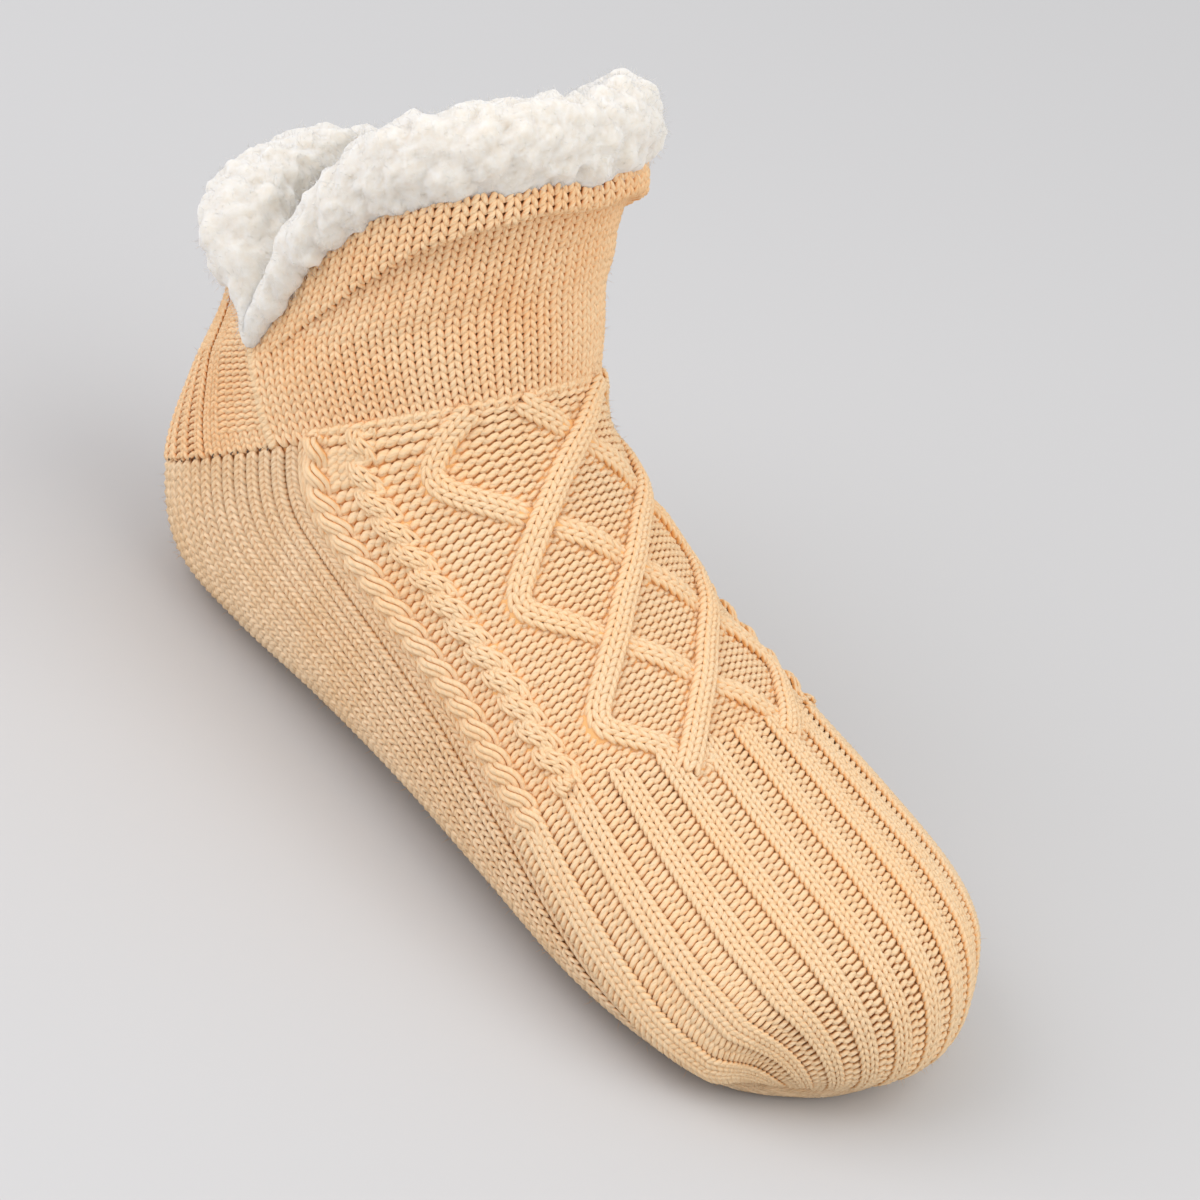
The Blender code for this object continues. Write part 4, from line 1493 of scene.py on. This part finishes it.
@dataclass(frozen=True)
class Softbox:
    """A soft square light, by its metres right of the shoe, towards the camera and up."""

    name: str
    right: float
    toward: float
    up: float
    size: float
    power: float
    tone: str

    def hang(self, place: Vector, target: Vector) -> None:
        """Hangs the light.

        Args:
            place: Where it hangs.
            target: What it faces.
        """
        data = bpy.data.lights.new(self.name, "AREA")
        data.size, data.energy, data.color = self.size, self.power, linear_colour(self.tone)[:3]
        light = bpy.data.objects.new(self.name, data)
        light.location = place
        light.rotation_euler = (target - place).to_track_quat("-Z", "Y").to_euler()
        bpy.context.scene.collection.objects.link(light)


@dataclass
class Studio:
    """Pale seamless paper, soft light from both sides, and the camera at the photo's angle."""

    paper: Material
    floor_size: float = 6.0
    floor_gap: float = 0.05 * MM
    azimuth: float = 32.0
    elevation: float = 31.0
    roll: float = 22.0
    distance: float = 1.05
    lens: float = 143.0
    sensor: float = 36.0
    target: tuple[float, float, float] = (0.0, 0.0, 0.055)
    air: str = "#F4F5F8"
    air_strength: float = 0.78
    lights: tuple[Softbox, ...] = (
        Softbox("key_softbox", 0.9, 0.45, 1.0, 1.8, 12.0, "#FFFAF4"),
        Softbox("fill_softbox", -1.2, 0.7, 0.6, 1.5, 14.0, "#FDFBFF"),
    )

    def floor(self) -> None:
        """Lays the paper."""
        mesh = bpy.data.meshes.new("studio_floor")
        shape = bmesh.new()
        bmesh.ops.create_grid(shape, x_segments=1, y_segments=1, size=self.floor_size)
        shape.to_mesh(mesh)
        shape.free()
        mesh.materials.append(self.paper)
        floor = bpy.data.objects.new("studio_floor", mesh)
        bpy.context.scene.collection.objects.link(floor)
        floor.location.z = FLOOR_LEVEL - self.floor_gap

    def build(self) -> None:
        """Sets floor, lights, world and camera."""
        self.floor()
        scene = bpy.context.scene
        turn, tilt = math.radians(self.azimuth), math.radians(self.elevation)
        toward = Vector((math.sin(turn) * math.cos(tilt), -math.cos(turn) * math.cos(tilt), math.sin(tilt)))
        right, up = Vector((math.cos(turn), math.sin(turn), 0.0)), Vector((0.0, 0.0, 1.0))
        target = Vector(self.target)
        for light in self.lights:
            light.hang(target + right * light.right + toward * light.toward + up * light.up, target)
        world = bpy.data.worlds.new("studio_air")
        world.use_nodes = True
        background = world.node_tree.nodes["Background"]
        background.inputs["Color"].default_value = linear_colour(self.air)
        background.inputs["Strength"].default_value = self.air_strength
        scene.world = world
        scene.view_settings.view_transform = "Standard"
        data = bpy.data.cameras.new("photo_camera")
        data.lens, data.sensor_width = self.lens, self.sensor
        camera = bpy.data.objects.new("photo_camera", data)
        place = Matrix.Translation(target + toward * self.distance)
        look = (-toward).to_track_quat("-Z", "Y").to_matrix().to_4x4()
        camera.matrix_world = place @ look @ Matrix.Rotation(math.radians(self.roll), 4, "Z")
        scene.collection.objects.link(camera)
        scene.camera = camera


def finish_node(name: str, material: Material) -> None:
    """Gives a CAD node its finish.

    Args:
        name: The node.
        material: Its finish.
    """
    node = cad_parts[name]
    node.data.materials.clear()
    node.data.materials.append(material)
    LOG.info("%s: %s", name, material.name)


def main() -> None:
    """Builds the looks, piece by piece."""
    logging.basicConfig(level=logging.INFO, format="%(name)s %(message)s")
    last = LastShape()
    # The third colour of each yarn is the painted shade on its strands' lower flanks and underside; it is
    # deepest on the cuff and the sole.
    yarn = YarnFinish("apricot acrylic yarn", "#F6D9B2", "#F9CF9B", "#FBBD77").material()
    cuff_yarn = YarnFinish("apricot cuff yarn", "#FBDBB1", "#F5BC80", "#E58D3D").material()
    # Painted shade: the CAD knit under the stitches, seen only in the gaps, gets a deeper apricot that stands
    # in for the shade there.
    painted_gap_backing = YarnFinish("apricot backing with painted gap shade", "#F7C98E", "#EFBA79", "#F2BE7F").material()
    sole_yarn = YarnFinish("apricot sole yarn", "#F5D8B3", "#EAC08D", "#D58E48").material()
    thread = YarnFinish("grey seam thread", "#77706A", "#5C5751", "#504B46").material()
    # The second colour of each fleece is the painted shade in the hollows between its curls.
    fleece = FleeceFinish("white pile fleece", "#E4E1DA", "#E1DACE").material()
    inside = FleeceFinish("white lining fleece", "#F5F1E9", "#EEE5D6", 4.5 * MM, 6.0 * MM).material()
    # Both CAD knit nodes get the backing with painted gap shade.
    finish_node("knit_upper", painted_gap_backing)
    finish_node("knit_sole", painted_gap_backing)
    finish_node("fleece_collar", fleece)
    finish_node("fleece_insole", inside)
    KnitCuff(last, cuff_yarn).build()
    KnitInstep(last, yarn).build()
    KnitToe(last, yarn).build()
    CableWork(last, yarn).build()
    SoleKnit(last, sole_yarn).build()
    Seams(last, thread, yarn).build()
    YarnFuzz(last, yarn).build()
    FleeceTrim(last, fleece, inside).build()
    Studio(PaperFinish("pale studio paper", "#CBCBCB").material()).build()


if __name__ == "__main__":
    main()
